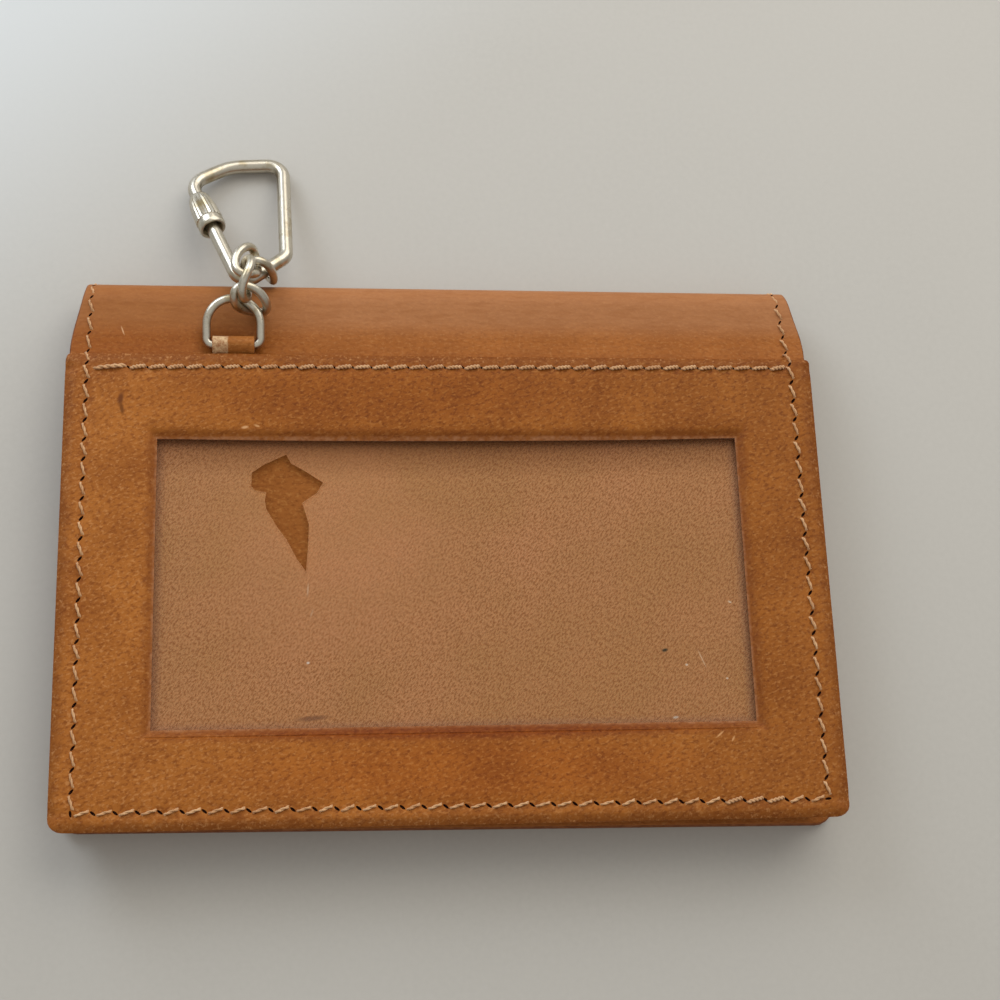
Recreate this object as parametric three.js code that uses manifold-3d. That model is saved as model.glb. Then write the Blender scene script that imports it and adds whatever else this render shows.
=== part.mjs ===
// Folding card case of tan leather with a clear window, a short chain and a key ring.
// Millimetres. X runs along the fold, Y from the open edge to the fold, Z up; the case lies on Z = 0.
import * as THREE from 'three';
import { mergeVertices } from 'three/addons/utils/BufferGeometryUtils.js';
import Module from 'manifold-3d';

const wasm = await Module();
wasm.setup();

// Case
const CASE_WIDTH = 102;
const PANEL_DEPTH = 63.8;
const PANEL_NEAR = -PANEL_DEPTH / 2;
const PANEL_FAR = PANEL_DEPTH / 2;
const CORNER_RADIUS = 1.8;
const EDGE_CHAMFER = 0.2;
const COVER_HALF_WIDTH = 50.7;
const FOLD_HALF_WIDTH = 48.9;
const INNER_HALF_WIDTH = 49.8;
const FRONT_NEAR = -31.9;
const FRONT_SKEW = 1.0;
const FRONT_CORNER = 2.5;
const LINING_HALF_WIDTH = 48.6;
const LINING_NEAR = -30.4;
const LINING_FAR = 36.5;
const LEAF_NEAR = -31.4;
const POCKET_CORNER = 1.5;
const BACK_POCKET_MOUTH = 12;
const FRONT_POCKET_MOUTH = 14;
const THUMB_NOTCH = 9;

// Window opening and film
const WINDOW_LEFT = -38.6;
const WINDOW_RIGHT = 39.6;
const WINDOW_NEAR = -19.2;
const WINDOW_FAR = 20.1;
const WINDOW_CORNER = 0.6;
const FILM_HALF_WIDTH = 45;
const FILM_NEAR = -26;
const FILM_FAR = 25.4;
const FILM_CORNER = 1;
const FILM_TEAR = [
  [-21.5, 18.2], [-20.8, 16.9], [-16.5, 14.1], [-17.4, 12.5], [-19.3, 11.2], [-18.4, 8.2],
  [-18.9, 1.6], [-21.6, 6.1], [-24.3, 10.4], [-24.3, 12.7], [-26.3, 13.6], [-26.2, 15.6],
];

// Plies and their levels, from the table up
const COVER_LEATHER = 1.4;
const LEAF_LEATHER = 1.2;
const THIN_LEATHER = 1.0;
const FILM_THICKNESS = 0.3;
const PLY_GAP = 0.2;
const SEWN_GAP = 0.1;
const CLOSED_GAP = 0.8;
const LINING_BOTTOM = COVER_LEATHER + PLY_GAP;
const FRONT_POCKET_BOTTOM = LINING_BOTTOM + THIN_LEATHER + PLY_GAP;
const BACK_POCKET_BOTTOM = FRONT_POCKET_BOTTOM + THIN_LEATHER + CLOSED_GAP;
const LEAF_BOTTOM = BACK_POCKET_BOTTOM + THIN_LEATHER + PLY_GAP;
const FILM_BOTTOM = LEAF_BOTTOM + LEAF_LEATHER + PLY_GAP;
const PANEL_BOTTOM = FILM_BOTTOM + FILM_THICKNESS + SEWN_GAP;
const PANEL_TOP = PANEL_BOTTOM + COVER_LEATHER;

// Fold: a half roll of cover leather behind the plies, split at two joint angles from its top
const FOLD_RADIUS = (PANEL_BOTTOM - SEWN_GAP) / 2;
const FOLD_INNER = FOLD_RADIUS - COVER_LEATHER;
const FOLD_Y = 40.5;
const FOLD_Z = FOLD_RADIUS;
const FOLD_NECK = 8;
const FLANGE_START = 26;
const TOP_JOINT = 45;
const LOW_JOINT = 135;
const JOINT_GAP = 4;
const FOLD_LINING = 0.8;
const FOLD_LINING_INSET = 1;

// Sewing
const STITCH = 2.75;
const NEAR_STITCHES = 35;
const SIDE_STITCHES = 22;
const TOP_STITCHES = 34;
const SEAM_HALF = (STITCH * NEAR_STITCHES) / 2;
const SEAM_NEAR = -29.6;
const TOP_SEAM_Y = 30.2;
const FRONT_NEAR_STITCHES = 34;
const FRONT_SIDE_STITCHES = 25;
const FRONT_SEAM_HALF = (STITCH * FRONT_NEAR_STITCHES) / 2;
const FRONT_SEAM_NEAR = -28.6;
const FOLD_SEAM_X = 47.3;
const FLANGE_STITCHES = 3;
const FLANGE_SEAM_START = PANEL_FAR + 0.5;
const THREAD = 0.54;
const THREAD_RISE = 0.18;
const THREAD_LEAN = 0.06;
const THREAD_CLEARANCE = 0.06;
const GROOVE_WIDTH = 0.9;
const GROOVE_DEPTH = 0.55;
const FRONT_GROOVE_DEPTH = 0.8;
const GROOVE_RUNOUT = 0.5;

// Tab and end ring
const TAB_X = -28.65;
const TAB_WIDTH = 5.8;
const TAB_SIDE_GAP = 0.4;
const TAB_BORE = 0.8;
const TAB_OUTER = 1.45;
const TAB_START = PANEL_FAR + 0.35;
const TAB_ROLL_END = 110;
const BAR_Y = 33.7;
const BAR_Z = 8.3;
const END_WIRE = 1.1;
const END_RING_HALF = 3.65;
const END_RING_ARCH = 2.7;
const END_RING_CORNER = 1.2;
const END_RING_TILT = 15.6;
const END_RING_STEPS = 40;

// Chain links: twisted ovals, each with its middle and the way it lies
const LINK_WIRE = 1.1;
const LINK_HALF_LENGTH = 2.85;
const LINK_HALF_WIDTH = 1.8;
const LINK_TWIST = 28;
const LINK_STEPS = 28;
const LINKS = [
  { middle: [-26.4, 39.2, 10.65], heading: -21, pitch: -48, roll: -131 },
  { middle: [-26.85, 41.5, 12.75], heading: -95, pitch: -4, roll: -95 },
  { middle: [-26.7, 44.7, 11.15], heading: -107, pitch: 31, roll: -33 },
  { middle: [-24.95, 44.95, 8.3], heading: -4, pitch: -67, roll: 111 },
];

// Key ring: corners of the bent wire in its own leaning plane, from the sleeve round to the sleeve
const RING_WIRE = 1.85;
const RING_ORIGIN = [-28, 44.1, 8];
const RING_LEAN = -18.6;
const RING_STEPS = 64;
const RING_CORNERS = [
  { at: new THREE.Vector2(-7.25, 18), radius: 2.6 },
  { at: new THREE.Vector2(-1.9, 21.45), radius: 7 },
  { at: new THREE.Vector2(5.8, 21.95), radius: 2.4 },
  { at: new THREE.Vector2(6.4, 3.65), radius: 1.8 },
  { at: new THREE.Vector2(0.3, -1.8), radius: 1.8 },
];
const WIRE_STUB = 0.7;
const WIRE_GAP = 2.2;

// Sleeve: outer radius along its length, a bore for the wire and a wider mouth
const SLEEVE_TOP = 3.1;
const SLEEVE_LENGTH = 6.6;
const SLEEVE_BARREL = [[1.25, 0], [1.5, 0.7], [1.75, 2.4], [1.88, 4.9], [1.88, 6.1], [1.78, SLEEVE_LENGTH]];
const SLEEVE_BORE = 1.12;
const MOUTH_INNER = 1.2;
const MOUTH_OUTER = 1.45;
const MOUTH_DEPTH = 1.1;
const KNURL_TEETH = 22;
const KNURL_TIP = 1.98;
const KNURL_ROOT = 1.74;

// Flat sides round a wire and round a bore
const THIN_WIRE_SIDES = 8;
const RING_WIRE_SIDES = 10;
const BORE_SIDES = 20;

// Cutting tools reach this far past what they cut
const OVERCUT = 1;

const radians = THREE.MathUtils.degToRad;

const LEATHER_TAN = new THREE.MeshStandardMaterial({ color: '#9c5f2c', roughness: 0.55, metalness: 0 });
const LEATHER_FOLD = new THREE.MeshStandardMaterial({ color: '#a9713f', roughness: 0.6, metalness: 0 });
const LEATHER_INNER = new THREE.MeshStandardMaterial({ color: '#a5743f', roughness: 0.7, metalness: 0 });
const THREAD_BEIGE = new THREE.MeshStandardMaterial({ color: '#d2ac80', roughness: 0.8, metalness: 0 });
const NICKEL = new THREE.MeshStandardMaterial({ color: '#c9c3b2', roughness: 0.25, metalness: 1 });
const FILM_CLEAR = new THREE.MeshStandardMaterial({
  color: '#d9c9a8', roughness: 0.2, metalness: 0, transparent: true, opacity: 0.25,
});

const keyHolder = new THREE.Group();

function add(name, geometry, material, parent = keyHolder) {
  const mesh = new THREE.Mesh(geometry, material);
  mesh.name = name;
  parent.add(mesh);
}

// Solids that can be cut and joined

function solid(geometry) {
  const bare = geometry.clone();
  bare.deleteAttribute('normal');
  bare.deleteAttribute('uv');
  const merged = mergeVertices(bare);
  return new wasm.Manifold(new wasm.Mesh({
    numProp: 3,
    vertProperties: new Float32Array(merged.attributes.position.array),
    triVerts: new Uint32Array(merged.index.array),
  }));
}

function geometryOf(manifold) {
  const mesh = manifold.getMesh();
  const geometry = new THREE.BufferGeometry();
  geometry.setAttribute('position', new THREE.BufferAttribute(mesh.vertProperties, 3));
  geometry.setIndex(new THREE.BufferAttribute(mesh.triVerts, 1));
  return geometry;
}

function cut(geometry, ...tools) {
  return geometryOf(tools.reduce((left, tool) => left.subtract(solid(tool)), solid(geometry)));
}

function overlapOf(geometry, keep) {
  return geometryOf(solid(geometry).intersect(solid(keep)));
}

// Flat plies

function roundedOutline(left, right, near, far, nearRadius, farRadius) {
  const outline = new THREE.Shape();
  outline.absarc(left + nearRadius, near + nearRadius, nearRadius, Math.PI, 1.5 * Math.PI);
  outline.absarc(right - nearRadius, near + nearRadius, nearRadius, 1.5 * Math.PI, 2 * Math.PI);
  outline.absarc(right - farRadius, far - farRadius, farRadius, 0, 0.5 * Math.PI);
  outline.absarc(left + farRadius, far - farRadius, farRadius, 0.5 * Math.PI, Math.PI);
  return outline;
}

function plate(outline, bottom, top, chamfer = 0) {
  const geometry = new THREE.ExtrudeGeometry(outline, {
    depth: top - bottom - 2 * chamfer,
    bevelEnabled: chamfer > 0,
    bevelThickness: chamfer,
    bevelSize: chamfer,
    bevelOffset: -chamfer,
    bevelSegments: 1,
    curveSegments: 4,
  });
  return geometry.translate(0, 0, bottom + chamfer);
}

function block(left, right, near, far, bottom, top) {
  const geometry = new THREE.BoxGeometry(right - left, far - near, top - bottom);
  return geometry.translate((left + right) / 2, (near + far) / 2, (bottom + top) / 2);
}

// A pocket's mouth faces the fold and has a thumb notch
function pocket(half, near, mouth, bottom) {
  const outline = new THREE.Shape();
  const inset = POCKET_CORNER;
  outline.absarc(-half + inset, near + inset, inset, Math.PI, 1.5 * Math.PI);
  outline.absarc(half - inset, near + inset, inset, 1.5 * Math.PI, 2 * Math.PI);
  outline.lineTo(half, mouth);
  outline.absarc(0, mouth, THUMB_NOTCH, 0, -Math.PI, true);
  outline.lineTo(-half, mouth);
  return plate(outline, bottom, bottom + THIN_LEATHER);
}

// Rolled cover leather, drawn as a section in Y and Z and run along X

const SECTION_TO_WORLD = new THREE.Matrix4().makeBasis(
  new THREE.Vector3(0, 1, 0),
  new THREE.Vector3(0, 0, 1),
  new THREE.Vector3(1, 0, 0),
);

function alongX(section, left, right) {
  const geometry = new THREE.ExtrudeGeometry(section, {
    depth: right - left, bevelEnabled: false, curveSegments: 6,
  });
  return geometry.applyMatrix4(SECTION_TO_WORLD).translate(left, 0, 0);
}

// Turn angles run in degrees from the top of the roll towards its back and down
function foldSection(from, to, outer, inner, leadIn = 0, leadOut = 0) {
  const start = radians(90 - from);
  const end = radians(90 - to);
  const section = new THREE.Shape();
  if (leadIn > 0) section.moveTo(FOLD_Y - leadIn, FOLD_Z + outer);
  section.absarc(FOLD_Y, FOLD_Z, outer, start, end, true);
  if (leadOut > 0) {
    section.lineTo(FOLD_Y - leadOut, FOLD_Z - outer);
    section.lineTo(FOLD_Y - leadOut, FOLD_Z - inner);
  }
  section.absarc(FOLD_Y, FOLD_Z, inner, end, start, false);
  if (leadIn > 0) section.lineTo(FOLD_Y - leadIn, FOLD_Z + inner);
  return section;
}

function foldPoint(x, angle, radius) {
  const turn = radians(angle);
  return new THREE.Vector3(x, FOLD_Y + radius * Math.sin(turn), FOLD_Z + radius * Math.cos(turn));
}

// Plan of the cover: full width over the plies, drawn in towards the fold
function coverPlan(near, skew, corner) {
  const back = FOLD_Y + FOLD_RADIUS;
  const neck = FOLD_Y - FOLD_NECK;
  const inset = COVER_HALF_WIDTH - corner;
  const plan = new THREE.Shape();
  plan.moveTo(-FOLD_HALF_WIDTH, back);
  plan.lineTo(-FOLD_HALF_WIDTH, FOLD_Y);
  plan.lineTo(-COVER_HALF_WIDTH, neck);
  plan.absarc(-inset, near + skew + corner, corner, Math.PI, 1.5 * Math.PI);
  plan.absarc(inset, near + corner, corner, 1.5 * Math.PI, 2 * Math.PI);
  plan.lineTo(COVER_HALF_WIDTH, neck);
  plan.lineTo(FOLD_HALF_WIDTH, FOLD_Y);
  plan.lineTo(FOLD_HALF_WIDTH, back);
  return plate(plan, -OVERCUT, PANEL_TOP);
}

function foldGrooves(from, to, leadIn = 0) {
  const section = foldSection(from, to, FOLD_RADIUS + OVERCUT, FOLD_RADIUS - GROOVE_DEPTH, leadIn);
  return [-FOLD_SEAM_X, FOLD_SEAM_X].map(
    (x) => alongX(section, x - GROOVE_WIDTH / 2, x + GROOVE_WIDTH / 2));
}

// Sewing: one wavy thread in a shallow groove, dipping at every hole, rising and leaning between them

function stitchRun(start, end, stitches, rise) {
  const aside = new THREE.Vector3(end.y - start.y, start.x - end.x, 0).normalize();
  const points = [];
  for (let i = 0; i <= 2 * stitches; i += 1) {
    const point = start.clone().lerp(end, i / (2 * stitches));
    point.addScaledVector(aside, (i % 2) * THREAD_LEAN);
    point.z += (i % 2) * rise;
    points.push(point);
  }
  return points;
}

function thread(points) {
  const half = THREAD / 2;
  const section = new THREE.Shape([
    new THREE.Vector2(-half, -half),
    new THREE.Vector2(half, -half),
    new THREE.Vector2(half, half),
    new THREE.Vector2(-half, half),
  ]);
  const path = new THREE.CurvePath();
  points.slice(1).forEach((point, i) => path.add(new THREE.LineCurve3(points[i], point)));
  return new THREE.ExtrudeGeometry(section, { steps: points.length - 1, extrudePath: path });
}

// A seam down the left side, along the near edge and up the right side
function sideSeam(half, near, sideStitches, nearStitches, level, rise) {
  const far = near + STITCH * sideStitches;
  const corners = [[-half, far], [-half, near], [half, near], [half, far]];
  const [a, b, c, d] = corners.map(([x, y]) => new THREE.Vector3(x, y, level));
  return thread([
    ...stitchRun(a, b, sideStitches, rise),
    ...stitchRun(b, c, nearStitches, rise).slice(1),
    ...stitchRun(c, d, sideStitches, rise).slice(1),
  ]);
}

function sideGrooves(half, near, far, bottom, top) {
  const w = GROOVE_WIDTH / 2;
  return [
    block(-half - w, -half + w, near - w, far, bottom, top),
    block(half - w, half + w, near - w, far, bottom, top),
    block(-half - w, half + w, near - w, near + w, bottom, top),
  ];
}

const FOLD_THREAD_LOW = FOLD_RADIUS - GROOVE_DEPTH + THREAD / 2 + THREAD_CLEARANCE;

function foldThread(x, from, to, stitches) {
  const points = [];
  for (let i = 0; i <= 2 * stitches; i += 1) {
    const angle = from + ((to - from) * i) / (2 * stitches);
    points.push(foldPoint(x, angle, FOLD_THREAD_LOW + (i % 2) * THREAD_RISE));
  }
  return points;
}

// Window panel, film and the plies behind it

function windowPanel() {
  const half = CASE_WIDTH / 2;
  const outline = roundedOutline(-half, half, PANEL_NEAR, PANEL_FAR, CORNER_RADIUS, CORNER_RADIUS / 2);
  outline.holes.push(roundedOutline(
    WINDOW_LEFT, WINDOW_RIGHT, WINDOW_NEAR, WINDOW_FAR, WINDOW_CORNER, WINDOW_CORNER));
  const sheet = plate(outline, PANEL_BOTTOM, PANEL_TOP, EDGE_CHAMFER);
  const floor = PANEL_TOP - GROOVE_DEPTH;
  const w = GROOVE_WIDTH / 2;
  return cut(
    sheet,
    ...sideGrooves(SEAM_HALF, SEAM_NEAR, PANEL_FAR + OVERCUT, floor, PANEL_TOP + OVERCUT),
    block(-SEAM_HALF, SEAM_HALF, TOP_SEAM_Y - w, TOP_SEAM_Y + w, floor, PANEL_TOP + OVERCUT),
  );
}

// The film has a ragged tear left of the window's middle
function windowFilm() {
  const sheet = roundedOutline(
    -FILM_HALF_WIDTH, FILM_HALF_WIDTH, FILM_NEAR, FILM_FAR, FILM_CORNER, FILM_CORNER);
  sheet.holes.push(new THREE.Path(FILM_TEAR.map(([x, y]) => new THREE.Vector2(x, y))));
  return plate(sheet, FILM_BOTTOM, FILM_BOTTOM + FILM_THICKNESS);
}

const leaf = roundedOutline(
  -INNER_HALF_WIDTH, INNER_HALF_WIDTH, LEAF_NEAR, FILM_FAR, POCKET_CORNER, FILM_CORNER);
const backPocket = pocket(INNER_HALF_WIDTH, LEAF_NEAR, BACK_POCKET_MOUTH, BACK_POCKET_BOTTOM);

add('window_panel', windowPanel(), LEATHER_TAN);
add('window_film', windowFilm(), FILM_CLEAR);
add('back_leaf', plate(leaf, LEAF_BOTTOM, LEAF_BOTTOM + LEAF_LEATHER), LEATHER_INNER);
add('back_pocket', backPocket, LEATHER_INNER);

// Cover leather: flange under the panel, rolled spine and front cover

function coverFlange() {
  const lead = FOLD_Y - FLANGE_START;
  const section = foldSection(0, TOP_JOINT - JOINT_GAP / 2, FOLD_RADIUS, FOLD_INNER, lead);
  const sheet = alongX(section, -CASE_WIDTH / 2, CASE_WIDTH / 2);
  const reach = TAB_WIDTH / 2 + TAB_SIDE_GAP;
  const notchFar = BAR_Y + TAB_OUTER + TAB_SIDE_GAP;
  const notch = block(TAB_X - reach, TAB_X + reach, FLANGE_START - OVERCUT, notchFar, 0, PANEL_TOP);
  const plan = coverPlan(FLANGE_START - OVERCUT, 0, OVERCUT / 2);
  return cut(overlapOf(sheet, plan), notch, ...foldGrooves(0, TOP_JOINT, FOLD_Y - PANEL_FAR));
}

function spine() {
  const section = foldSection(
    TOP_JOINT + JOINT_GAP / 2, LOW_JOINT - JOINT_GAP / 2, FOLD_RADIUS, FOLD_INNER);
  const sheet = alongX(section, -FOLD_HALF_WIDTH, FOLD_HALF_WIDTH);
  return cut(sheet, ...foldGrooves(TOP_JOINT, LOW_JOINT));
}

function frontCover() {
  const lead = FOLD_Y - FRONT_NEAR + OVERCUT;
  const section = foldSection(LOW_JOINT + JOINT_GAP / 2, 180, FOLD_RADIUS, FOLD_INNER, 0, lead);
  const sheet = alongX(section, -CASE_WIDTH / 2, CASE_WIDTH / 2);
  const far = FRONT_SEAM_NEAR + STITCH * FRONT_SIDE_STITCHES + GROOVE_RUNOUT;
  return cut(
    overlapOf(sheet, coverPlan(FRONT_NEAR, FRONT_SKEW, FRONT_CORNER)),
    ...sideGrooves(FRONT_SEAM_HALF, FRONT_SEAM_NEAR, far, -OVERCUT, FRONT_GROOVE_DEPTH),
  );
}

const lining = roundedOutline(
  -LINING_HALF_WIDTH, LINING_HALF_WIDTH, LINING_NEAR, LINING_FAR, POCKET_CORNER, POCKET_CORNER);
const foldLining = foldSection(
  TOP_JOINT + JOINT_GAP, LOW_JOINT - JOINT_GAP, FOLD_INNER - PLY_GAP, FOLD_INNER - PLY_GAP - FOLD_LINING);

const foldLiningHalf = FOLD_HALF_WIDTH - FOLD_LINING_INSET;
const frontPocket = pocket(LINING_HALF_WIDTH, LINING_NEAR, FRONT_POCKET_MOUTH, FRONT_POCKET_BOTTOM);

add('cover_back_flange', coverFlange(), LEATHER_FOLD);
add('spine', spine(), LEATHER_FOLD);
add('spine_lining', alongX(foldLining, -foldLiningHalf, foldLiningHalf), LEATHER_INNER);
add('front_cover', frontCover(), LEATHER_TAN);
add('front_lining', plate(lining, LINING_BOTTOM, LINING_BOTTOM + THIN_LEATHER), LEATHER_INNER);
add('front_pocket', frontPocket, LEATHER_INNER);

// Threads

const panelThreadLow = PANEL_TOP - GROOVE_DEPTH + THREAD / 2 + THREAD_CLEARANCE;
const frontThreadLow = FRONT_GROOVE_DEPTH - THREAD / 2 - THREAD_CLEARANCE;
const topSeamHalf = (STITCH * TOP_STITCHES) / 2;
const topSeam = stitchRun(
  new THREE.Vector3(-topSeamHalf, TOP_SEAM_Y, panelThreadLow),
  new THREE.Vector3(topSeamHalf, TOP_SEAM_Y, panelThreadLow),
  TOP_STITCHES,
  THREAD_RISE,
);

add('panel_seam', sideSeam(
  SEAM_HALF, SEAM_NEAR, SIDE_STITCHES, NEAR_STITCHES, panelThreadLow, THREAD_RISE), THREAD_BEIGE);
add('panel_top_seam', thread(topSeam), THREAD_BEIGE);
for (const [side, x] of [['left', -FOLD_SEAM_X], ['right', FOLD_SEAM_X]]) {
  const lead = stitchRun(
    new THREE.Vector3(x, FLANGE_SEAM_START, FOLD_Z + FOLD_THREAD_LOW),
    new THREE.Vector3(x, FOLD_Y, FOLD_Z + FOLD_THREAD_LOW),
    FLANGE_STITCHES,
    THREAD_RISE,
  );
  const overTop = foldThread(x, 0, TOP_JOINT - JOINT_GAP, 1).slice(1);
  const overBack = foldThread(x, TOP_JOINT + JOINT_GAP, LOW_JOINT - JOINT_GAP, 2);
  add(`flange_seam_${side}`, thread([...lead, ...overTop]), THREAD_BEIGE);
  add(`spine_seam_${side}`, thread(overBack), THREAD_BEIGE);
}
add('front_seam', sideSeam(
  FRONT_SEAM_HALF, FRONT_SEAM_NEAR, FRONT_SIDE_STITCHES, FRONT_NEAR_STITCHES, frontThreadLow, -THREAD_RISE,
), THREAD_BEIGE);

// Leather tab folded round the bar of the end ring

function tabSection() {
  const section = new THREE.Shape();
  section.moveTo(TAB_START, FOLD_Z + FOLD_INNER + SEWN_GAP);
  section.lineTo(BAR_Y, BAR_Z - TAB_OUTER);
  section.absarc(BAR_Y, BAR_Z, TAB_OUTER, -0.5 * Math.PI, radians(TAB_ROLL_END));
  section.lineTo(TAB_START, PANEL_BOTTOM - SEWN_GAP);
  const bore = new THREE.Path();
  bore.absarc(BAR_Y, BAR_Z, TAB_BORE, 0, 2 * Math.PI);
  section.holes.push(bore);
  return section;
}

const tabLeft = TAB_X - TAB_WIDTH / 2;
const tabRight = TAB_X + TAB_WIDTH / 2;

add('tab_root', block(tabLeft, tabRight, FLANGE_START + SEWN_GAP, PANEL_FAR,
  FOLD_Z + FOLD_INNER + SEWN_GAP, PANEL_BOTTOM - SEWN_GAP), LEATHER_TAN);
add('chain_tab', alongX(tabSection(), tabLeft, tabRight), LEATHER_TAN);

// Wire: a round section swept along a path

function wireSection(diameter, sides) {
  const circle = new THREE.Path();
  circle.absarc(0, 0, diameter / 2, 0, 2 * Math.PI);
  return new THREE.Shape(circle.getSpacedPoints(sides).slice(0, -1));
}

// A closed wire is a row of rings along its path, the last ring joined to the first
function closedWire(points, diameter, sides, rings) {
  const path = new THREE.CatmullRomCurve3(points, true);
  const { normals, binormals } = path.computeFrenetFrames(rings, true);
  const corners = [];
  const faces = [];
  for (let i = 0; i < rings; i += 1) {
    for (let j = 0; j < sides; j += 1) {
      const turn = (2 * Math.PI * j) / sides;
      const corner = path.getPointAt(i / rings);
      corner.addScaledVector(normals[i], (diameter / 2) * Math.cos(turn));
      corner.addScaledVector(binormals[i], (diameter / 2) * Math.sin(turn));
      corners.push(corner);
      const here = i * sides;
      const next = ((i + 1) % rings) * sides;
      const side = (j + 1) % sides;
      faces.push(here + j, here + side, next + j, here + side, next + side, next + j);
    }
  }
  return new THREE.BufferGeometry().setFromPoints(corners).setIndex(faces);
}

// End ring: a straight bar in the tab, round corners and a round arch
function endRing() {
  const corner = END_RING_CORNER;
  const inset = END_RING_HALF - corner;
  const outline = new THREE.Path();
  outline.absarc(0, END_RING_ARCH, END_RING_HALF, 0, Math.PI);
  outline.absarc(-inset, corner, corner, Math.PI, 1.5 * Math.PI);
  outline.absarc(inset, corner, corner, 1.5 * Math.PI, 2 * Math.PI);
  outline.closePath();
  const points = outline.getSpacedPoints(END_RING_STEPS).slice(0, -1);
  return closedWire(points.map(flat), END_WIRE, THIN_WIRE_SIDES, END_RING_STEPS);
}

function chainLink() {
  const points = [];
  for (let i = 0; i < LINK_STEPS; i += 1) {
    const turn = (2 * Math.PI * i) / LINK_STEPS;
    const twist = radians(LINK_TWIST) * Math.cos(turn);
    const across = LINK_HALF_WIDTH * Math.sin(turn);
    points.push(new THREE.Vector3(
      LINK_HALF_LENGTH * Math.cos(turn), across * Math.cos(twist), across * Math.sin(twist)));
  }
  return closedWire(points, LINK_WIRE, THIN_WIRE_SIDES, LINK_STEPS);
}

const ringTilt = new THREE.Group();
ringTilt.position.set(TAB_X, BAR_Y, BAR_Z);
ringTilt.rotation.x = radians(END_RING_TILT);
keyHolder.add(ringTilt);
add('end_ring', endRing(), NICKEL, ringTilt);

LINKS.forEach(({ middle, heading, pitch, roll }, i) => {
  const place = new THREE.Group();
  place.position.set(...middle);
  place.rotation.set(radians(roll), radians(-pitch), radians(heading), 'ZYX');
  keyHolder.add(place);
  add(`chain_link_${i + 1}`, chainLink(), NICKEL, place);
});

// Key ring: one bent wire whose two ends meet inside the sleeve

function bentWire(start, corners, end) {
  const path = new THREE.CurvePath();
  let from = start;
  corners.forEach(({ at, radius }, i) => {
    const next = i + 1 < corners.length ? corners[i + 1].at : end;
    const incoming = at.clone().sub(from).normalize();
    const outgoing = next.clone().sub(at).normalize();
    const half = Math.acos(incoming.dot(outgoing)) / 2;
    const reach = radius * Math.tan(half);
    const bendStart = at.clone().addScaledVector(incoming, -reach);
    const bendEnd = at.clone().addScaledVector(outgoing, reach);
    const middle = at.clone().addScaledVector(outgoing.clone().sub(incoming).normalize(),
      radius / Math.cos(half) - radius);
    path.add(new THREE.LineCurve3(flat(from), flat(bendStart)));
    path.add(new THREE.CatmullRomCurve3([bendStart, middle, bendEnd].map(flat)));
    from = bendEnd;
  });
  path.add(new THREE.LineCurve3(flat(from), flat(end)));
  return path;
}

function flat({ x, y }) {
  return new THREE.Vector3(x, y, 0);
}

const gateStart = RING_CORNERS[0].at;
const gateLine = RING_CORNERS.at(-1).at.clone().sub(gateStart).normalize();

function onGate(distance) {
  return gateStart.clone().addScaledVector(gateLine, distance);
}

function keyRing() {
  const stubEnd = SLEEVE_TOP + WIRE_STUB;
  const path = bentWire(onGate(stubEnd), RING_CORNERS, onGate(stubEnd + WIRE_GAP));
  const section = wireSection(RING_WIRE, RING_WIRE_SIDES);
  return new THREE.ExtrudeGeometry(section, { steps: RING_STEPS, extrudePath: path });
}

function knurl() {
  const teeth = [];
  for (let i = 0; i < 2 * KNURL_TEETH; i += 1) {
    const turn = (Math.PI * i) / KNURL_TEETH;
    const radius = i % 2 === 0 ? KNURL_TIP : KNURL_ROOT;
    teeth.push(new THREE.Vector2(radius * Math.cos(turn), radius * Math.sin(turn)));
  }
  const depth = SLEEVE_LENGTH + 2 * OVERCUT;
  const prism = new THREE.ExtrudeGeometry(new THREE.Shape(teeth), { depth, bevelEnabled: false });
  return prism.translate(0, 0, -OVERCUT).rotateX(-Math.PI / 2);
}

function sleeve() {
  const corners = [[0, 0], ...SLEEVE_BARREL, [0, SLEEVE_LENGTH]];
  const outline = corners.map(([radius, along]) => new THREE.Vector2(radius, along));
  const barrel = new THREE.LatheGeometry(outline, 2 * KNURL_TEETH);
  const boreLength = SLEEVE_LENGTH + 2 * OVERCUT;
  const bore = new THREE.CylinderGeometry(SLEEVE_BORE, SLEEVE_BORE, boreLength, BORE_SIDES);
  bore.translate(0, SLEEVE_LENGTH / 2, 0);
  const mouth = new THREE.CylinderGeometry(MOUTH_OUTER, MOUTH_INNER, MOUTH_DEPTH, BORE_SIDES);
  mouth.translate(0, SLEEVE_LENGTH - MOUTH_DEPTH / 2 + EDGE_CHAMFER, 0);
  return cut(overlapOf(barrel, knurl()), bore, mouth);
}

const ringFrame = new THREE.Group();
ringFrame.position.set(...RING_ORIGIN);
ringFrame.rotation.x = radians(RING_LEAN);
keyHolder.add(ringFrame);
add('key_ring', keyRing(), NICKEL, ringFrame);

const gateFrame = new THREE.Group();
gateFrame.position.copy(flat(onGate(SLEEVE_TOP)));
gateFrame.rotation.z = Math.atan2(-gateLine.x, gateLine.y);
ringFrame.add(gateFrame);
add('key_ring_sleeve', sleeve(), NICKEL, gateFrame);

export default keyHolder;
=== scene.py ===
import math

import bmesh
import bpy
from mathutils import Euler, Matrix, Vector, noise


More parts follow.
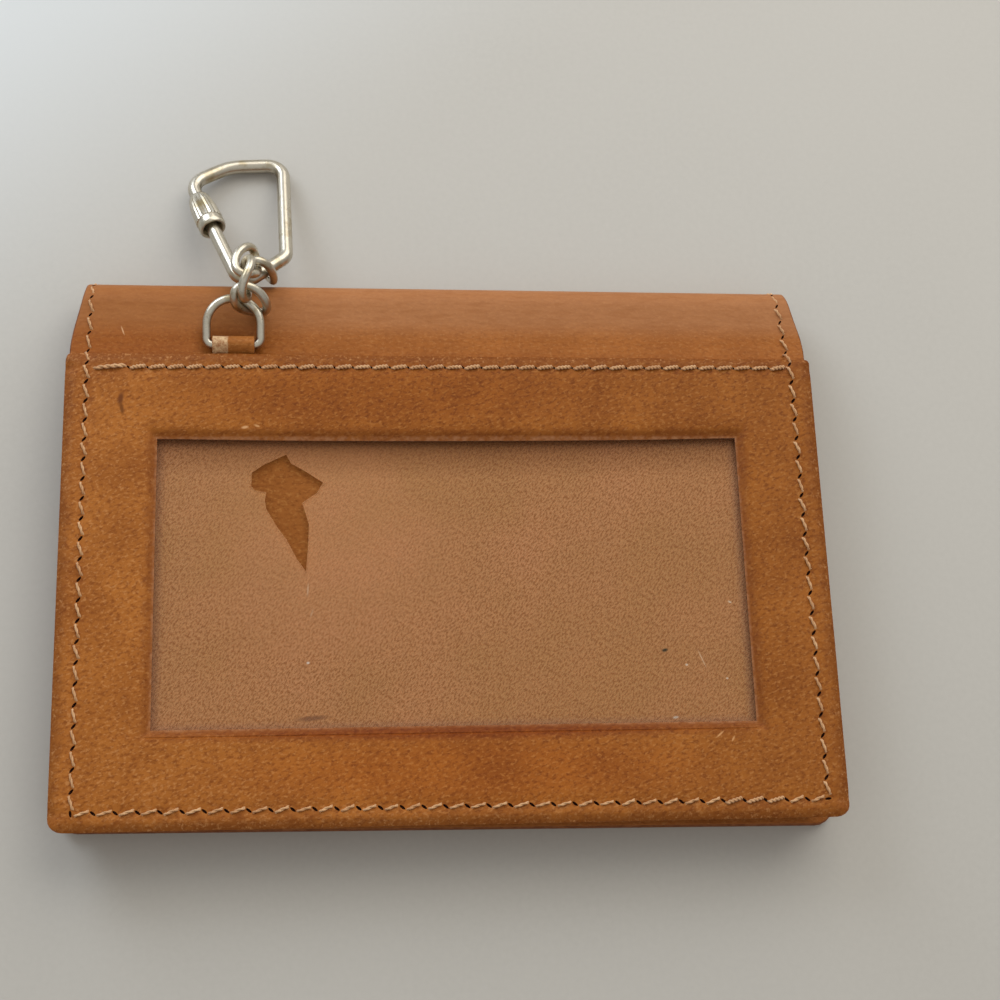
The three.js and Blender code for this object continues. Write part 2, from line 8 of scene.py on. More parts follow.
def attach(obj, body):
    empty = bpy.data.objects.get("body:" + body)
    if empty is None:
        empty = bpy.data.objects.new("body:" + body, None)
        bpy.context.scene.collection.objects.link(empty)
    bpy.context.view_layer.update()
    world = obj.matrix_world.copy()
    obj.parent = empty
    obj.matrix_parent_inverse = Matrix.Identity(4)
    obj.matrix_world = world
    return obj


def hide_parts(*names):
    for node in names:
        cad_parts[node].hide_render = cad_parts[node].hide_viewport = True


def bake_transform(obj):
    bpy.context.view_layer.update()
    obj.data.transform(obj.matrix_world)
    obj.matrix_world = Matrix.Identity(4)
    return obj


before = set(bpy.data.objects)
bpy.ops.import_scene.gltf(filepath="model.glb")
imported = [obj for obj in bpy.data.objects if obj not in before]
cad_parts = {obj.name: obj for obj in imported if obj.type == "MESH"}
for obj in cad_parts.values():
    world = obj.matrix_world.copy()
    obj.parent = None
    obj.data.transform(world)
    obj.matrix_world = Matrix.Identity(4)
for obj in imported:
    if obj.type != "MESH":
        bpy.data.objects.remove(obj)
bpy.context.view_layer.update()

# Viewpoint, table and soft light.
# The case lies on a painted board, pale grey with painted light towards the far left, seen from above its
# open edge.
# A large lamp behind its right end, a small cooler one behind its left end and a pale room light it.

MM = 0.001
TABLE_HALF = 1.5
TABLE_TOP = -0.1 * MM
ROOM_LIGHT = 0.78
scene = bpy.context.scene
scene.view_settings.view_transform = "Standard"

camera_right = Vector((0.99529, -0.03430, 0.09063))
camera_up = Vector((0.00453, 0.95072, 0.31003))
camera_back = camera_right.cross(camera_up)
camera_place = Vector((-17.14, -65.40, 243.94)) * MM
camera_data = bpy.data.cameras.new("camera")
camera_data.lens = 66.85
camera_data.sensor_width = 36
camera_data.clip_start = 0.01
camera = bpy.data.objects.new("camera", camera_data)
camera_turn = Matrix((camera_right, camera_up, camera_back)).transposed().to_4x4()
camera.matrix_world = Matrix.Translation(camera_place) @ camera_turn
scene.collection.objects.link(camera)
scene.camera = camera


def linear(colour, alpha=1.0):
    """A colour written as on a screen, '#rrggbb', in the linear values that shaders take."""
    parts = [int(colour[i:i + 2], 16) / 255 for i in (1, 3, 5)]
    return [p / 12.92 if p <= 0.04045 else ((p + 0.055) / 1.055) ** 2.4 for p in parts] + [alpha]


def add_node(tree, kind, inputs=(), output=0, **settings):
    """Adds a node, sets it up, feeds its inputs links, values or '#rrggbb' colours, and gives one output."""
    node = tree.nodes.new(kind)
    for name, value in settings.items():
        setattr(node, name, value)
    for socket, value in dict(inputs).items():
        if isinstance(value, bpy.types.NodeSocket):
            tree.links.new(value, node.inputs[socket])
        else:
            node.inputs[socket].default_value = linear(value) if isinstance(value, str) else value
    return node.outputs[output]


def new_material(name, coordinates="Object"):
    """An empty material: its node tree, its shader and the coordinates that its patterns read."""
    material = bpy.data.materials.new(name)
    material.use_nodes = True
    tree = material.node_tree
    place = add_node(tree, "ShaderNodeTexCoord", output=coordinates)
    return material, tree, tree.nodes["Principled BSDF"], place


def add_lamp(name, place, aim, size, power, colour):
    """A square soft lamp turned towards a point."""
    lamp_data = bpy.data.lights.new(name, "AREA")
    lamp_data.size = size
    lamp_data.energy = power
    lamp_data.color = linear(colour)[:3]
    lamp = bpy.data.objects.new(name, lamp_data)
    lamp.location = place
    lamp.rotation_euler = (Vector(aim) - Vector(place)).to_track_quat("-Z", "Y").to_euler()
    scene.collection.objects.link(lamp)


add_lamp("window_lamp", place=(0.32, 0.56, 0.54), aim=(0, 0.02, 0), size=0.8, power=4.0, colour="#fffaf2")
add_lamp("back_lamp", place=(-0.26, 0.34, 0.22), aim=(-0.1, 0.14, 0), size=0.25, power=0.95, colour="#e8f2ff")

world = bpy.data.worlds.new("room")
world.use_nodes = True
scene.world = world
sky = world.node_tree
facing = add_node(sky, "ShaderNodeTexCoord", output="Generated")
height = add_node(sky, "ShaderNodeSeparateXYZ", {"Vector": facing}, output="Z")
glow = add_node(sky, "ShaderNodeMapRange", {"Value": height, "From Min": -0.1, "From Max": 0.9})
room = add_node(sky, "ShaderNodeMix",
                {0: glow, 6: "#8f8c88", 7: "#e4e2de"}, output=2, data_type="RGBA")
sky.links.new(room, sky.nodes["Background"].inputs["Color"])
sky.nodes["Background"].inputs["Strength"].default_value = ROOM_LIGHT

# Painted board: a pale warm grey, very slightly cloudy, with painted light paling it towards the far left,
# and a dull sheen.
table_paint, tree, shader, place = new_material("painted_board")
cloud = add_node(tree, "ShaderNodeTexNoise", {"Vector": place, "Scale": 1 / (60 * MM), "Detail": 3})
speck = add_node(tree, "ShaderNodeTexNoise", {"Vector": place, "Scale": 1 / (0.8 * MM), "Detail": 2})
mottle = add_node(tree, "ShaderNodeMath", {0: cloud, 1: speck}, operation="MULTIPLY")
paint = add_node(tree, "ShaderNodeMix", {0: mottle, 6: "#bfbcb5", 7: "#b3b0a9"},
                 output=2, data_type="RGBA")
# Painted light: the board's colour pales and cools towards the far left corner, where the light is brightest.
toward_corner = add_node(tree, "ShaderNodeVectorMath", {0: place, 1: (-0.6, 0.8, 0)}, output="Value",
                         operation="DOT_PRODUCT")
painted_light_share = add_node(tree, "ShaderNodeMapRange",
                  {"Value": toward_corner, "From Min": 55 * MM, "From Max": 120 * MM, "To Max": 0.8},
                  interpolation_type="SMOOTHSTEP")
board_with_painted_light = add_node(tree, "ShaderNodeMix", {0: painted_light_share, 6: paint, 7: "#d3d8da"},
                    output=2, data_type="RGBA")
tree.links.new(board_with_painted_light, shader.inputs["Base Color"])
shader.inputs["Roughness"].default_value = 0.5
table_mesh = bmesh.new()
bmesh.ops.create_grid(table_mesh, x_segments=4, y_segments=4, size=TABLE_HALF)
table_data = bpy.data.meshes.new("table")
table_mesh.to_mesh(table_data)
table_mesh.free()
table_data.materials.append(table_paint)
table = bpy.data.objects.new("table", table_data)
table.location.z = TABLE_TOP
scene.collection.objects.link(table)

# Cover leather, front half: vegetable-tanned hide about 1.4 mm thick.
# It is the under half of the case: flat below the plies, rolled up to the middle of the fold,
# with rounded open corners and worn, burnished edges; slanted awl holes for the sewing run round it.

COVER_HALF = 50.7 * MM
FOLD_HALF = 48.9 * MM
COVER_NEAR = -31.9 * MM
COVER_SKEW = 1.0 * MM
COVER_CORNER = 2.5 * MM
COVER_THICK = 1.4 * MM
COVER_ROUND = 0.4 * MM
COVER_SWELL = 0.1 * MM
COVER_SWELL_FADE = 12 * MM
COVER_LINES = 2.6 * MM
ROLL_LINES = 1 * MM
NECK = 32.5 * MM
ROLL_Y = 40.5 * MM
ROLL_Z = 3.75 * MM
ROLL = 3.75 * MM
FOLD_SKEW = 0.9 * MM
MID_FOLD = ROLL_Y + ROLL * math.pi / 2
STITCH = 2.75 * MM
STITCH_SLANT = 0.34 * MM
HOLE_LEAN = math.radians(38)
HOLE_LENGTH = 0.5 * MM
HOLE_WIDTH = 0.2 * MM
HOLE_DEPTH = 0.6 * MM
AWL_TIP = 0.7
AWL_SHANK = 1.1
FRONT_SIDE_STITCHES = 25
FRONT_NEAR_STITCHES = 34
FRONT_SEAM_HALF = FRONT_NEAR_STITCHES / 2 * STITCH
FRONT_SEAM_NEAR = -28.6 * MM
FRONT_SEAM_FAR = FRONT_SEAM_NEAR + FRONT_SIDE_STITCHES * STITCH
FRONT_SEAM_LEVEL = 0.1 * MM
BROAD_SWELL = 17 * MM
FINE_SWELL = 4.5 * MM
SHARP_EDGE = math.radians(50)
TOUCHING = 0.001 * MM
HAIR = 0.01 * MM


def speckle(tree, place, under, over, size, low=0.0, high=1.0, share=1.0, detail=2, roughness=0.5,
            warp=0.0):
    """Speckles a colour with another in spots of a size in millimetres; gives the colour and the spots."""
    spots = add_node(tree, "ShaderNodeTexNoise",
                     {"Vector": place, "Scale": 1 / (size * MM), "Detail": detail, "Roughness": roughness,
                      "Distortion": warp})
    covered = add_node(tree, "ShaderNodeMapRange",
                       {"Value": spots, "From Min": low, "From Max": high, "To Max": share})
    colour = add_node(tree, "ShaderNodeMix", {0: covered, 6: under, 7: over}, output=2, data_type="RGBA")
    return colour, spots


def leather(name, base, deep, pale, roughness, lean=0.0, wrinkle=1.6, coordinates="Object"):
    """Vegetable-tanned hide: cloudy tan, speckled with darker grain, finely wrinkled along one way."""
    material, tree, shader, place = new_material(name, coordinates)
    tan, cloud = speckle(tree, place, base, deep, 9, 0.38, 0.72, share=0.6, detail=5, roughness=0.6)
    drawn = add_node(tree, "ShaderNodeMapping",
                     {"Vector": place, "Rotation": (0, 0, lean), "Scale": (wrinkle, 1, 1)},
                     vector_type="TEXTURE")
    grained = speckle(tree, drawn, tan, deep, 0.5, 0.48, 0.63, share=0.7, detail=5, roughness=0.7)[0]
    colour, wrinkles = speckle(tree, drawn, grained, pale, 0.36, 0.53, 0.66, share=0.65, detail=3,
                               roughness=0.6)
    tree.links.new(colour, shader.inputs["Base Color"])
    dull = add_node(tree, "ShaderNodeMapRange",
                    {"Value": cloud, "To Min": roughness - 0.1, "To Max": roughness + 0.1})
    tree.links.new(dull, shader.inputs["Roughness"])
    pebble = add_node(tree, "ShaderNodeTexVoronoi", {"Vector": drawn, "Scale": 1 / (0.5 * MM)})
    skin = add_node(tree, "ShaderNodeMath", {0: pebble, 1: wrinkles}, operation="ADD")
    bump = add_node(tree, "ShaderNodeBump", {"Height": skin, "Distance": 0.09 * MM, "Strength": 0.3})
    tree.links.new(bump, shader.inputs["Normal"])
    shader.inputs["Specular IOR Level"].default_value = 0.15
    return material, tree, shader, place, colour


def mark(tree, place, colour, tone, middle, turn, length, width, laid="MIX"):
    """Lays an oblong mark, such as a speck, a scratch, a stain or a painted shadow, on a colour; sizes in
    millimetres.
    """
    spot = add_node(tree, "ShaderNodeMapping",
                    {"Vector": place, "Location": (middle[0] * MM, middle[1] * MM, 0),
                     "Rotation": (0, 0, math.radians(turn)), "Scale": (length * MM, width * MM, 1)},
                    vector_type="TEXTURE")
    away = add_node(tree, "ShaderNodeVectorMath", {0: spot}, output="Value", operation="LENGTH")
    inside = add_node(tree, "ShaderNodeMapRange", {"Value": away, "From Min": 1, "From Max": 0.4})
    return add_node(tree, "ShaderNodeMix", {0: inside, 6: colour, 7: tone},
                    output=2, data_type="RGBA", blend_type=laid)


def edge_distance(tree, place, middle, half):
    """How far a point lies outside a rectangle seen from above, in metres; negative inside it."""
    moved = add_node(tree, "ShaderNodeVectorMath", {0: place, 1: (*middle, 0)}, operation="SUBTRACT")
    folded = add_node(tree, "ShaderNodeVectorMath", {0: moved}, operation="ABSOLUTE")
    past = add_node(tree, "ShaderNodeVectorMath", {0: folded, 1: (*half, 1)}, operation="SUBTRACT")
    parts = add_node(tree, "ShaderNodeSeparateXYZ", {"Vector": past}).node
    return add_node(tree, "ShaderNodeMath", {0: parts.outputs["X"], 1: parts.outputs["Y"]},
                    operation="MAXIMUM")


def cut_blank(left, right, near, far, near_corner, far_corner):
    """A flat leather blank with rounded corners."""
    bm = bmesh.new()
    bmesh.ops.create_grid(bm, x_segments=1, y_segments=1, size=0.5)
    bmesh.ops.scale(bm, vec=(right - left, far - near, 1), verts=bm.verts)
    bmesh.ops.translate(bm, vec=((left + right) / 2, (near + far) / 2, 0), verts=bm.verts)
    for edge, radius in ((near, near_corner), (far, far_corner)):
        corners = [v for v in bm.verts if abs(v.co.y - edge) < TOUCHING]
        if radius > 0:
            bmesh.ops.bevel(bm, geom=corners, offset=radius, affect="VERTICES", segments=5,
                            profile=0.5, material=-1)
    return bm


def chart(bm):
    """Notes where every corner of a blank lies while flat, so that patterns follow the hide as it bends."""
    flat = bm.loops.layers.uv.new("flat")
    for face in bm.faces:
        for loop in face.loops:
            loop[flat].uv = loop.vert.co.xy


def spaced(start, end, pitch):
    """Evenly spaced places from start to end, about a pitch apart."""
    count = max(1, round((end - start) / pitch))
    return [start + (end - start) * i / count for i in range(count + 1)]


def score(bm, axis, places):
    """Divides a blank along straight lines, so that it can be shaped between them."""
    across = Vector((axis == 0, axis == 1, 0))
    for place in places:
        bmesh.ops.bisect_plane(bm, geom=bm.verts[:] + bm.edges[:] + bm.faces[:], dist=TOUCHING,
                               plane_co=across * place, plane_no=across)


def soften(value, low, high):
    """0 below low, 1 above high and a smooth rise between."""
    t = min(1, max(0, (value - low) / (high - low)))
    return t * t * (3 - 2 * t)


def on_cover(x, along, side, lift=0.0):
    """A place on the cover's outer face and the way out of it; along runs from the plies to the fold."""
    turn = max(0, along - ROLL_Y) / ROLL
    out = Vector((0, math.sin(turn), side * math.cos(turn)))
    skew = FOLD_SKEW * (x / (2 * COVER_HALF) + 0.5) * soften(along, NECK, ROLL_Y)
    return Vector((x, min(along, ROLL_Y) - skew, ROLL_Z)) + out * (ROLL + lift), out


def cover_taper(along):
    """The cover narrows a little from the plies to the fold."""
    return 1 - (1 - FOLD_HALF / COVER_HALF) * soften(along, NECK, ROLL_Y + ROLL)


def finish(name, bm, *materials):
    """A new piece from a finished bmesh."""
    data = bpy.data.meshes.new(name)
    bm.to_mesh(data)
    bm.free()
    data.shade_smooth()
    piece = bpy.data.objects.new(name, data)
    scene.collection.objects.link(piece)
    for material in materials:
        data.materials.append(material)
    return piece


def settle(piece, crease=40):
    """Makes what the modifiers give the piece's own mesh, with edges sharper than the crease kept sharp."""
    graph = bpy.context.evaluated_depsgraph_get()
    piece.data = bpy.data.meshes.new_from_object(piece.evaluated_get(graph))
    piece.modifiers.clear()
    piece.data.set_sharp_from_angle(angle=math.radians(crease))


def thicken(piece, thickness, edge_round, rim_material=0, butted=False):
    """Gives a leather face its thickness, inwards, and rounds its cut edges, but not where halves butt."""
    wall = piece.modifiers.new("thickness", "SOLIDIFY")
    wall.thickness = thickness
    wall.offset = -1
    wall.material_offset_rim = rim_material
    settle(piece)
    bm = bmesh.new()
    bm.from_mesh(piece.data)
    sharp = [e for e in bm.edges if e.calc_face_angle(0) > SHARP_EDGE]
    if butted:
        sharp = [e for e in sharp if any(abs(v.co.z - ROLL_Z) > HAIR for v in e.verts)]
    bmesh.ops.bevel(bm, geom=sharp, offset=edge_round, affect="EDGES", segments=3, profile=0.5,
                    material=-1, clamp_overlap=True)
    bm.to_mesh(piece.data)
    bm.free()
    piece.data.shade_smooth()
    settle(piece)


def hide_swell(x, y, depth):
    """The slight unevenness of a worn hide."""
    broad = noise.noise(Vector((x, y, 0)) / BROAD_SWELL)
    fine = noise.noise(Vector((x, y, 9 * MM)) / FINE_SWELL)
    return depth * (broad + 0.35 * fine)


def run_of_holes(start, end, stitches):
    """Evenly spaced awl holes in a straight line."""
    return [start.lerp(end, i / stitches) for i in range(stitches + 1)]


def edge_run(half, near, far, level, side_stitches, near_stitches):
    """Awl holes down the left edge, along the near edge and up the right edge."""
    corners = [Vector((x * half, y, level)) for x, y in ((-1, far), (-1, near), (1, near), (1, far))]
    holes = corners[:1]
    for start, end, stitches in zip(corners, corners[1:], (side_stitches, near_stitches, side_stitches)):
        holes += run_of_holes(start, end, stitches)[1:]
    return holes


def seam_frame(start, end, out):
    """Stands a stitch or a hole on the leather: X along the seam, Z out of the leather."""
    ahead = (end - start).normalized()
    left = out.cross(ahead).normalized()
    turn = Matrix((ahead, left, ahead.cross(left))).transposed().to_4x4()
    return Matrix.Translation((start + end) / 2) @ turn


def punch(piece, holes, outs, size=1.0):
    """Cuts slanted awl holes into the leather's face."""
    awl = bmesh.new()
    slant = Matrix.Rotation(-HOLE_LEAN, 4, "Z")
    shape = Matrix.Diagonal((size * HOLE_LENGTH, size * HOLE_WIDTH, HOLE_DEPTH, 1))
    for i, hole in enumerate(holes):
        behind = holes[max(i - 1, 0)]
        ahead = holes[min(i + 1, len(holes) - 1)]
        stand = seam_frame(behind, ahead, outs[i])
        stand.translation = hole
        bmesh.ops.create_cone(awl, segments=8, radius1=AWL_TIP, radius2=AWL_SHANK, depth=2,
                              cap_ends=True, matrix=stand @ slant @ shape)
    tool = finish("awl", awl, awl_hole_shade)
    cut = piece.modifiers.new("holes", "BOOLEAN")
    cut.object = tool
    cut.operation = "DIFFERENCE"
    cut.solver = "EXACT"
    cut.material_mode = "TRANSFER"
    cut.use_hole_tolerant = True
    settle(piece)
    bpy.data.objects.remove(tool)


# Cover hide: tan with darker grain, satin from handling; on the fold stretched, creased, and paler from
# rubbing and painted sheen.
cover_hide, tree, shader, place, colour = leather(
    "cover_hide", "#a7642a", "#8a4c1a", "#b27640", 0.52, wrinkle=1.5, coordinates="UV")
toward_fold = add_node(tree, "ShaderNodeSeparateXYZ", {"Vector": place}, output="Y")
# Rubbed wear and painted sheen: the fold is paled from its top round the roll.
rub_and_sheen = add_node(tree, "ShaderNodeMapRange",
                  {"Value": toward_fold, "From Min": 34.5 * MM, "From Max": 38.5 * MM, "To Max": 0.6},
                  interpolation_type="SMOOTHSTEP")
hide_rubbed_and_sheened = add_node(tree, "ShaderNodeMix", {0: rub_and_sheen, 6: colour, 7: "#ad7850"},
                       output=2, data_type="RGBA")
creases = add_node(tree, "ShaderNodeMapping", {"Vector": place, "Scale": (0.2, 1, 1)})
creased = speckle(tree, creases, hide_rubbed_and_sheened, "#8f5426", 0.7, 0.46, 0.66, share=0.3, detail=4,
                  warp=0.5)[0]
at_fold = add_node(tree, "ShaderNodeMapRange",
                   {"Value": toward_fold, "From Min": 24 * MM, "From Max": 33 * MM},
                   interpolation_type="SMOOTHSTEP")
fold_creased = add_node(tree, "ShaderNodeMix", {0: at_fold, 6: colour, 7: creased},
                        output=2, data_type="RGBA")
# The left part of the fold is made darker.
fold_left_darker = mark(tree, place, fold_creased, "#efe4c8", (-44, 39), 0, 30, 14, laid="MULTIPLY")
scratched = mark(tree, place, fold_left_darker, "#cc9c70", (-44, 36.1), 118, 0.9, 0.12)
tree.links.new(scratched, shader.inputs["Base Color"])

# Burnished edge: layers of fibre pressed together, dark brown with paler raw fibres.
burnished_edge, tree, shader, place = new_material("burnished_edge")
layered = add_node(tree, "ShaderNodeMapping", {"Vector": place, "Scale": (0.6, 0.6, 1.6)})
edge_colour, layer = speckle(tree, layered, "#713a15", "#9c5f33", 0.9, 0.38, 0.72, detail=5, roughness=0.7)
tree.links.new(edge_colour, shader.inputs["Base Color"])
shader.inputs["Roughness"].default_value = 0.6
shader.inputs["Specular IOR Level"].default_value = 0.3
edge_bump = add_node(tree, "ShaderNodeBump", {"Height": layer, "Distance": 0.15 * MM, "Strength": 0.5})
tree.links.new(edge_bump, shader.inputs["Normal"])

# Awl hole: the inside of the leather where the thread goes down, coloured dark brown as painted shade.
awl_hole_shade, tree, shader, place = new_material("awl_hole_shade")
hole_shade_colour = speckle(tree, place, "#3f1104", "#602808", 0.5)[0]
tree.links.new(hole_shade_colour, shader.inputs["Base Color"])
shader.inputs["Roughness"].default_value = 0.8

front_sheet = cut_blank(-COVER_HALF, COVER_HALF, COVER_NEAR, MID_FOLD, COVER_CORNER, 0)
score(front_sheet, 0, spaced(-COVER_HALF, COVER_HALF, COVER_LINES)[1:-1])
score(front_sheet, 1, spaced(COVER_NEAR, NECK, COVER_LINES)[1:] + spaced(NECK, MID_FOLD, ROLL_LINES)[1:-1])
chart(front_sheet)
for vert in front_sheet.verts:
    x, along = vert.co.x, vert.co.y
    skew = COVER_SKEW * (0.5 - x / (2 * COVER_HALF)) * (1 - soften(along, COVER_NEAR, 0))
    place_on, way_out = on_cover(x * cover_taper(along), along + skew, -1)
    inside = soften(abs(along - COVER_NEAR), 0, COVER_SWELL_FADE) * (1 - soften(along, NECK, ROLL_Y))
    vert.co = place_on - way_out * abs(hide_swell(x, along, COVER_SWELL)) * inside
bmesh.ops.reverse_faces(front_sheet, faces=front_sheet.faces)
cover_front = finish("cover_front_leather", front_sheet, cover_hide, burnished_edge)
thicken(cover_front, COVER_THICK, COVER_ROUND, rim_material=1, butted=True)

DOWN = Vector((0, 0, -1))
front_holes = edge_run(FRONT_SEAM_HALF, FRONT_SEAM_NEAR, FRONT_SEAM_FAR, FRONT_SEAM_LEVEL,
                       FRONT_SIDE_STITCHES, FRONT_NEAR_STITCHES)
front_outs = [DOWN] * len(front_holes)
punch(cover_front, front_holes, front_outs)
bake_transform(cover_front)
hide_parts("front_cover")

# Lining and card pocket of the front half: thin split leather, flesh side in.
# Both are glued and sewn to the cover round three edges; the pocket's mouth faces the fold
# and has a half-round thumb notch.

THIN_LEATHER = 1.0 * MM
THIN_ROUND = 0.25 * MM
LINING_HALF = 48.6 * MM
LINING_NEAR = -30.4 * MM
LINING_FAR = 36.5 * MM
LINING_TOP = 2.6 * MM
POCKET_TOP = 3.8 * MM
POCKET_MOUTH = 14 * MM
POCKET_CORNER = 1.5 * MM
THUMB_NOTCH = 9 * MM

# Inner leather: undyed, drier and more even than the cover.
inner_hide = leather("inner_hide", "#a8723a", "#8c5722", "#ba8a52", 0.65)[0]


def cut_pocket(half, near, mouth, level):
    """A pocket blank: rounded near corners and a half-round thumb notch in its mouth."""
    bm = cut_blank(-half, half, near, mouth, POCKET_CORNER, 0)
    score(bm, 0, [-THUMB_NOTCH, THUMB_NOTCH])
    floor = mouth - 1.2 * THUMB_NOTCH
    score(bm, 1, [floor])
    middle = [f for f in bm.faces if abs(f.calc_center_median().x) < THUMB_NOTCH
              and f.calc_center_median().y > floor]
    bmesh.ops.delete(bm, geom=middle, context="FACES_ONLY")
    mouth_edge = [e for e in bm.edges if not e.link_faces]
    bmesh.ops.delete(bm, geom=mouth_edge, context="EDGES")
    gap = [e for e in bm.edges if len(e.link_faces) == 1
           and all(abs(v.co.x) < THUMB_NOTCH + TOUCHING for v in e.verts)
           and all(v.co.y > floor - TOUCHING for v in e.verts)]
    corner = bm.verts.new((THUMB_NOTCH, mouth, 0))
    bmesh.ops.spin(bm, geom=[corner], cent=(0, mouth, 0), axis=(0, 0, -1), angle=math.pi, steps=18)
    curve = [e for e in bm.edges if not e.link_faces]
    bmesh.ops.remove_doubles(bm, verts=bm.verts, dist=TOUCHING)
    bmesh.ops.triangle_fill(bm, edges=[e for e in gap + curve if e.is_valid], use_beauty=True,
                            normal=(0, 0, 1))
    bmesh.ops.translate(bm, vec=(0, 0, level), verts=bm.verts)
    return bm


lining_blank = cut_blank(-LINING_HALF, LINING_HALF, LINING_NEAR, LINING_FAR, POCKET_CORNER, POCKET_CORNER)
bmesh.ops.translate(lining_blank, vec=(0, 0, LINING_TOP), verts=lining_blank.verts)
front_lining = finish("front_lining_leather", lining_blank, inner_hide, burnished_edge)
pocket_blank = cut_pocket(LINING_HALF, LINING_NEAR, POCKET_MOUTH, POCKET_TOP)
front_pocket = finish("front_pocket_leather", pocket_blank, inner_hide, burnished_edge)
for piece, node in ((front_lining, "front_lining"), (front_pocket, "front_pocket")):
    thicken(piece, THIN_LEATHER, THIN_ROUND, rim_material=1)
    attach(piece, "case_front")
    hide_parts(node)

# Seam of the front half: two-ply waxed linen thread, beige, pulled tight from hole to hole.
# Every stitch slants a little across the seam and dips into the leather at both ends.

FINE_PLY = 0.13 * MM
STITCH_SHOWN = 2.0 * MM
STITCH_TURNS = 1.1
STITCH_STEPS = 7
STITCH_VARIES = 1.7 * MM
STITCH_LEAN = math.radians(6)

# Linen thread: pale beige, matt, each stitch a slightly different shade, its twist darkened by dirt.
linen, tree, shader, place = new_material("waxed_linen")
shades = speckle(tree, place, "#bf8c5c", "#dcb080", 2.2, 0.3, 0.7)[0]
thread_colour, lint = speckle(tree, place, shades, "#9a693c", 0.15, 0.5, 0.75, share=0.5, detail=3,
                              roughness=0.7)
tree.links.new(thread_colour, shader.inputs["Base Color"])
thread_bump = add_node(tree, "ShaderNodeBump", {"Height": lint, "Distance": 0.05 * MM, "Strength": 0.6})
tree.links.new(thread_bump, shader.inputs["Normal"])
shader.inputs["Roughness"].default_value = 0.75
shader.inputs["Sheen Weight"].default_value = 0.2


def twist_stitch(ply, shown, slant, turns, steps):
    """One stitch of two twisted plies, along X, slanting to the left and dipping at both ends."""
    bm = bmesh.new()
    for turn_start in (0, math.pi):
        stand = Matrix.Rotation(turn_start, 4, "X") @ Matrix.Translation((-shown / 2, 0.7 * ply, 0))
        ring = bmesh.ops.create_circle(bm, segments=5, radius=ply,
                                       matrix=stand @ Matrix.Rotation(math.pi / 2, 4, "Y"))["verts"]
        ring_edges = list({e for v in ring for e in v.link_edges})
        bmesh.ops.spin(bm, geom=ring + ring_edges, cent=(0, 0, 0), axis=(1, 0, 0),
                       dvec=(shown / steps, 0, 0), angle=2 * math.pi * turns, steps=steps)
    for vert in bm.verts:
        reach = vert.co.x / (shown / 2)
        vert.co.y += slant * reach
        vert.co.z += 1.5 * ply * (1 - 1.9 * reach ** 4)
    bmesh.ops.holes_fill(bm, edges=bm.edges[:], sides=8)
    bmesh.ops.recalc_face_normals(bm, faces=bm.faces)
    data = bpy.data.meshes.new("stitch")
    bm.to_mesh(data)
    bm.free()
    return data


def sew(name, holes, outs, thread, pitch=STITCH, thick=(), thick_thread=None):
    """A row of stitches, one between each two neighbouring holes; those numbered in thick are stouter."""
    bm = bmesh.new()
    for i in range(len(holes) - 1):
        first = len(bm.verts)
        bm.from_mesh(thick_thread if i in thick else thread)
        bm.verts.ensure_lookup_table()
        stand = seam_frame(holes[i], holes[i + 1], (outs[i] + outs[i + 1]) / 2)
        uneven = noise.noise((holes[i] + holes[i + 1]) / STITCH_VARIES)
        span = (holes[i + 1] - holes[i]).length / pitch
        shape = Matrix.Diagonal((span, 1 + 0.2 * uneven, 1 + 0.15 * uneven, 1))
        lean = Matrix.Rotation(STITCH_LEAN * uneven, 4, "Z")
        bmesh.ops.transform(bm, matrix=stand @ lean @ shape, verts=bm.verts[first:])
    return finish(name, bm, linen)


fine_stitch = twist_stitch(FINE_PLY, STITCH_SHOWN, STITCH_SLANT, STITCH_TURNS, STITCH_STEPS)
front_seam = sew("front_stitches", front_holes, front_outs, fine_stitch)
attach(front_seam, "case_front")
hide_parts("front_seam")

# Cover leather, back half: the same hide goes on over the fold and ends under the window panel.
# It is bare and rubbed on the fold, paler there partly from the rubbing and partly from painted sheen,
# and lightly wrinkled along its length; the edge seams run on over both ends of the fold.

FLANGE_START = 26 * MM
FLANGE_LINES = 2 * MM
BACK_LINES = 1.7 * MM
BACK_ROLL_LINES = 0.7 * MM
BACK_SWELL = 0.08 * MM
FOLD_RIPPLE = 0.05 * MM
RIPPLE_LENGTH = 16 * MM
RIPPLE_WIDTH = 1.6 * MM
SHOWN_FROM = (31 * MM, 33 * MM)
TAB_X = -28.65 * MM
TAB_HOLLOW = 0.75 * MM
TAB_HOLLOW_SIDE = (2.6 * MM, 4.2 * MM)
TAB_HOLLOW_FAR = (34.6 * MM, 37 * MM)
PANEL_TOP = 9.0 * MM
FOLD_SEAM_START = 33.1 * MM
FOLD_PITCH = 2.6 * MM
END_SEAMS = (("left", -48.2 * MM, -47.8 * MM), ("right", 48.0 * MM, 46.9 * MM))
END_SEAM_ON_PANEL = 31 * MM
END_SEAM_SINK = 0.2 * MM
SMALL_HOLE = 0.8


def end_seam(x_start, x_end, places, side):
    """Holes of the seam over one end of the fold, each with the way out of the leather there."""
    reach = MID_FOLD - FOLD_SEAM_START
    return [on_cover(x_start + (x_end - x_start) * ((along - FOLD_SEAM_START) / reach), along, side)
            for along in places]


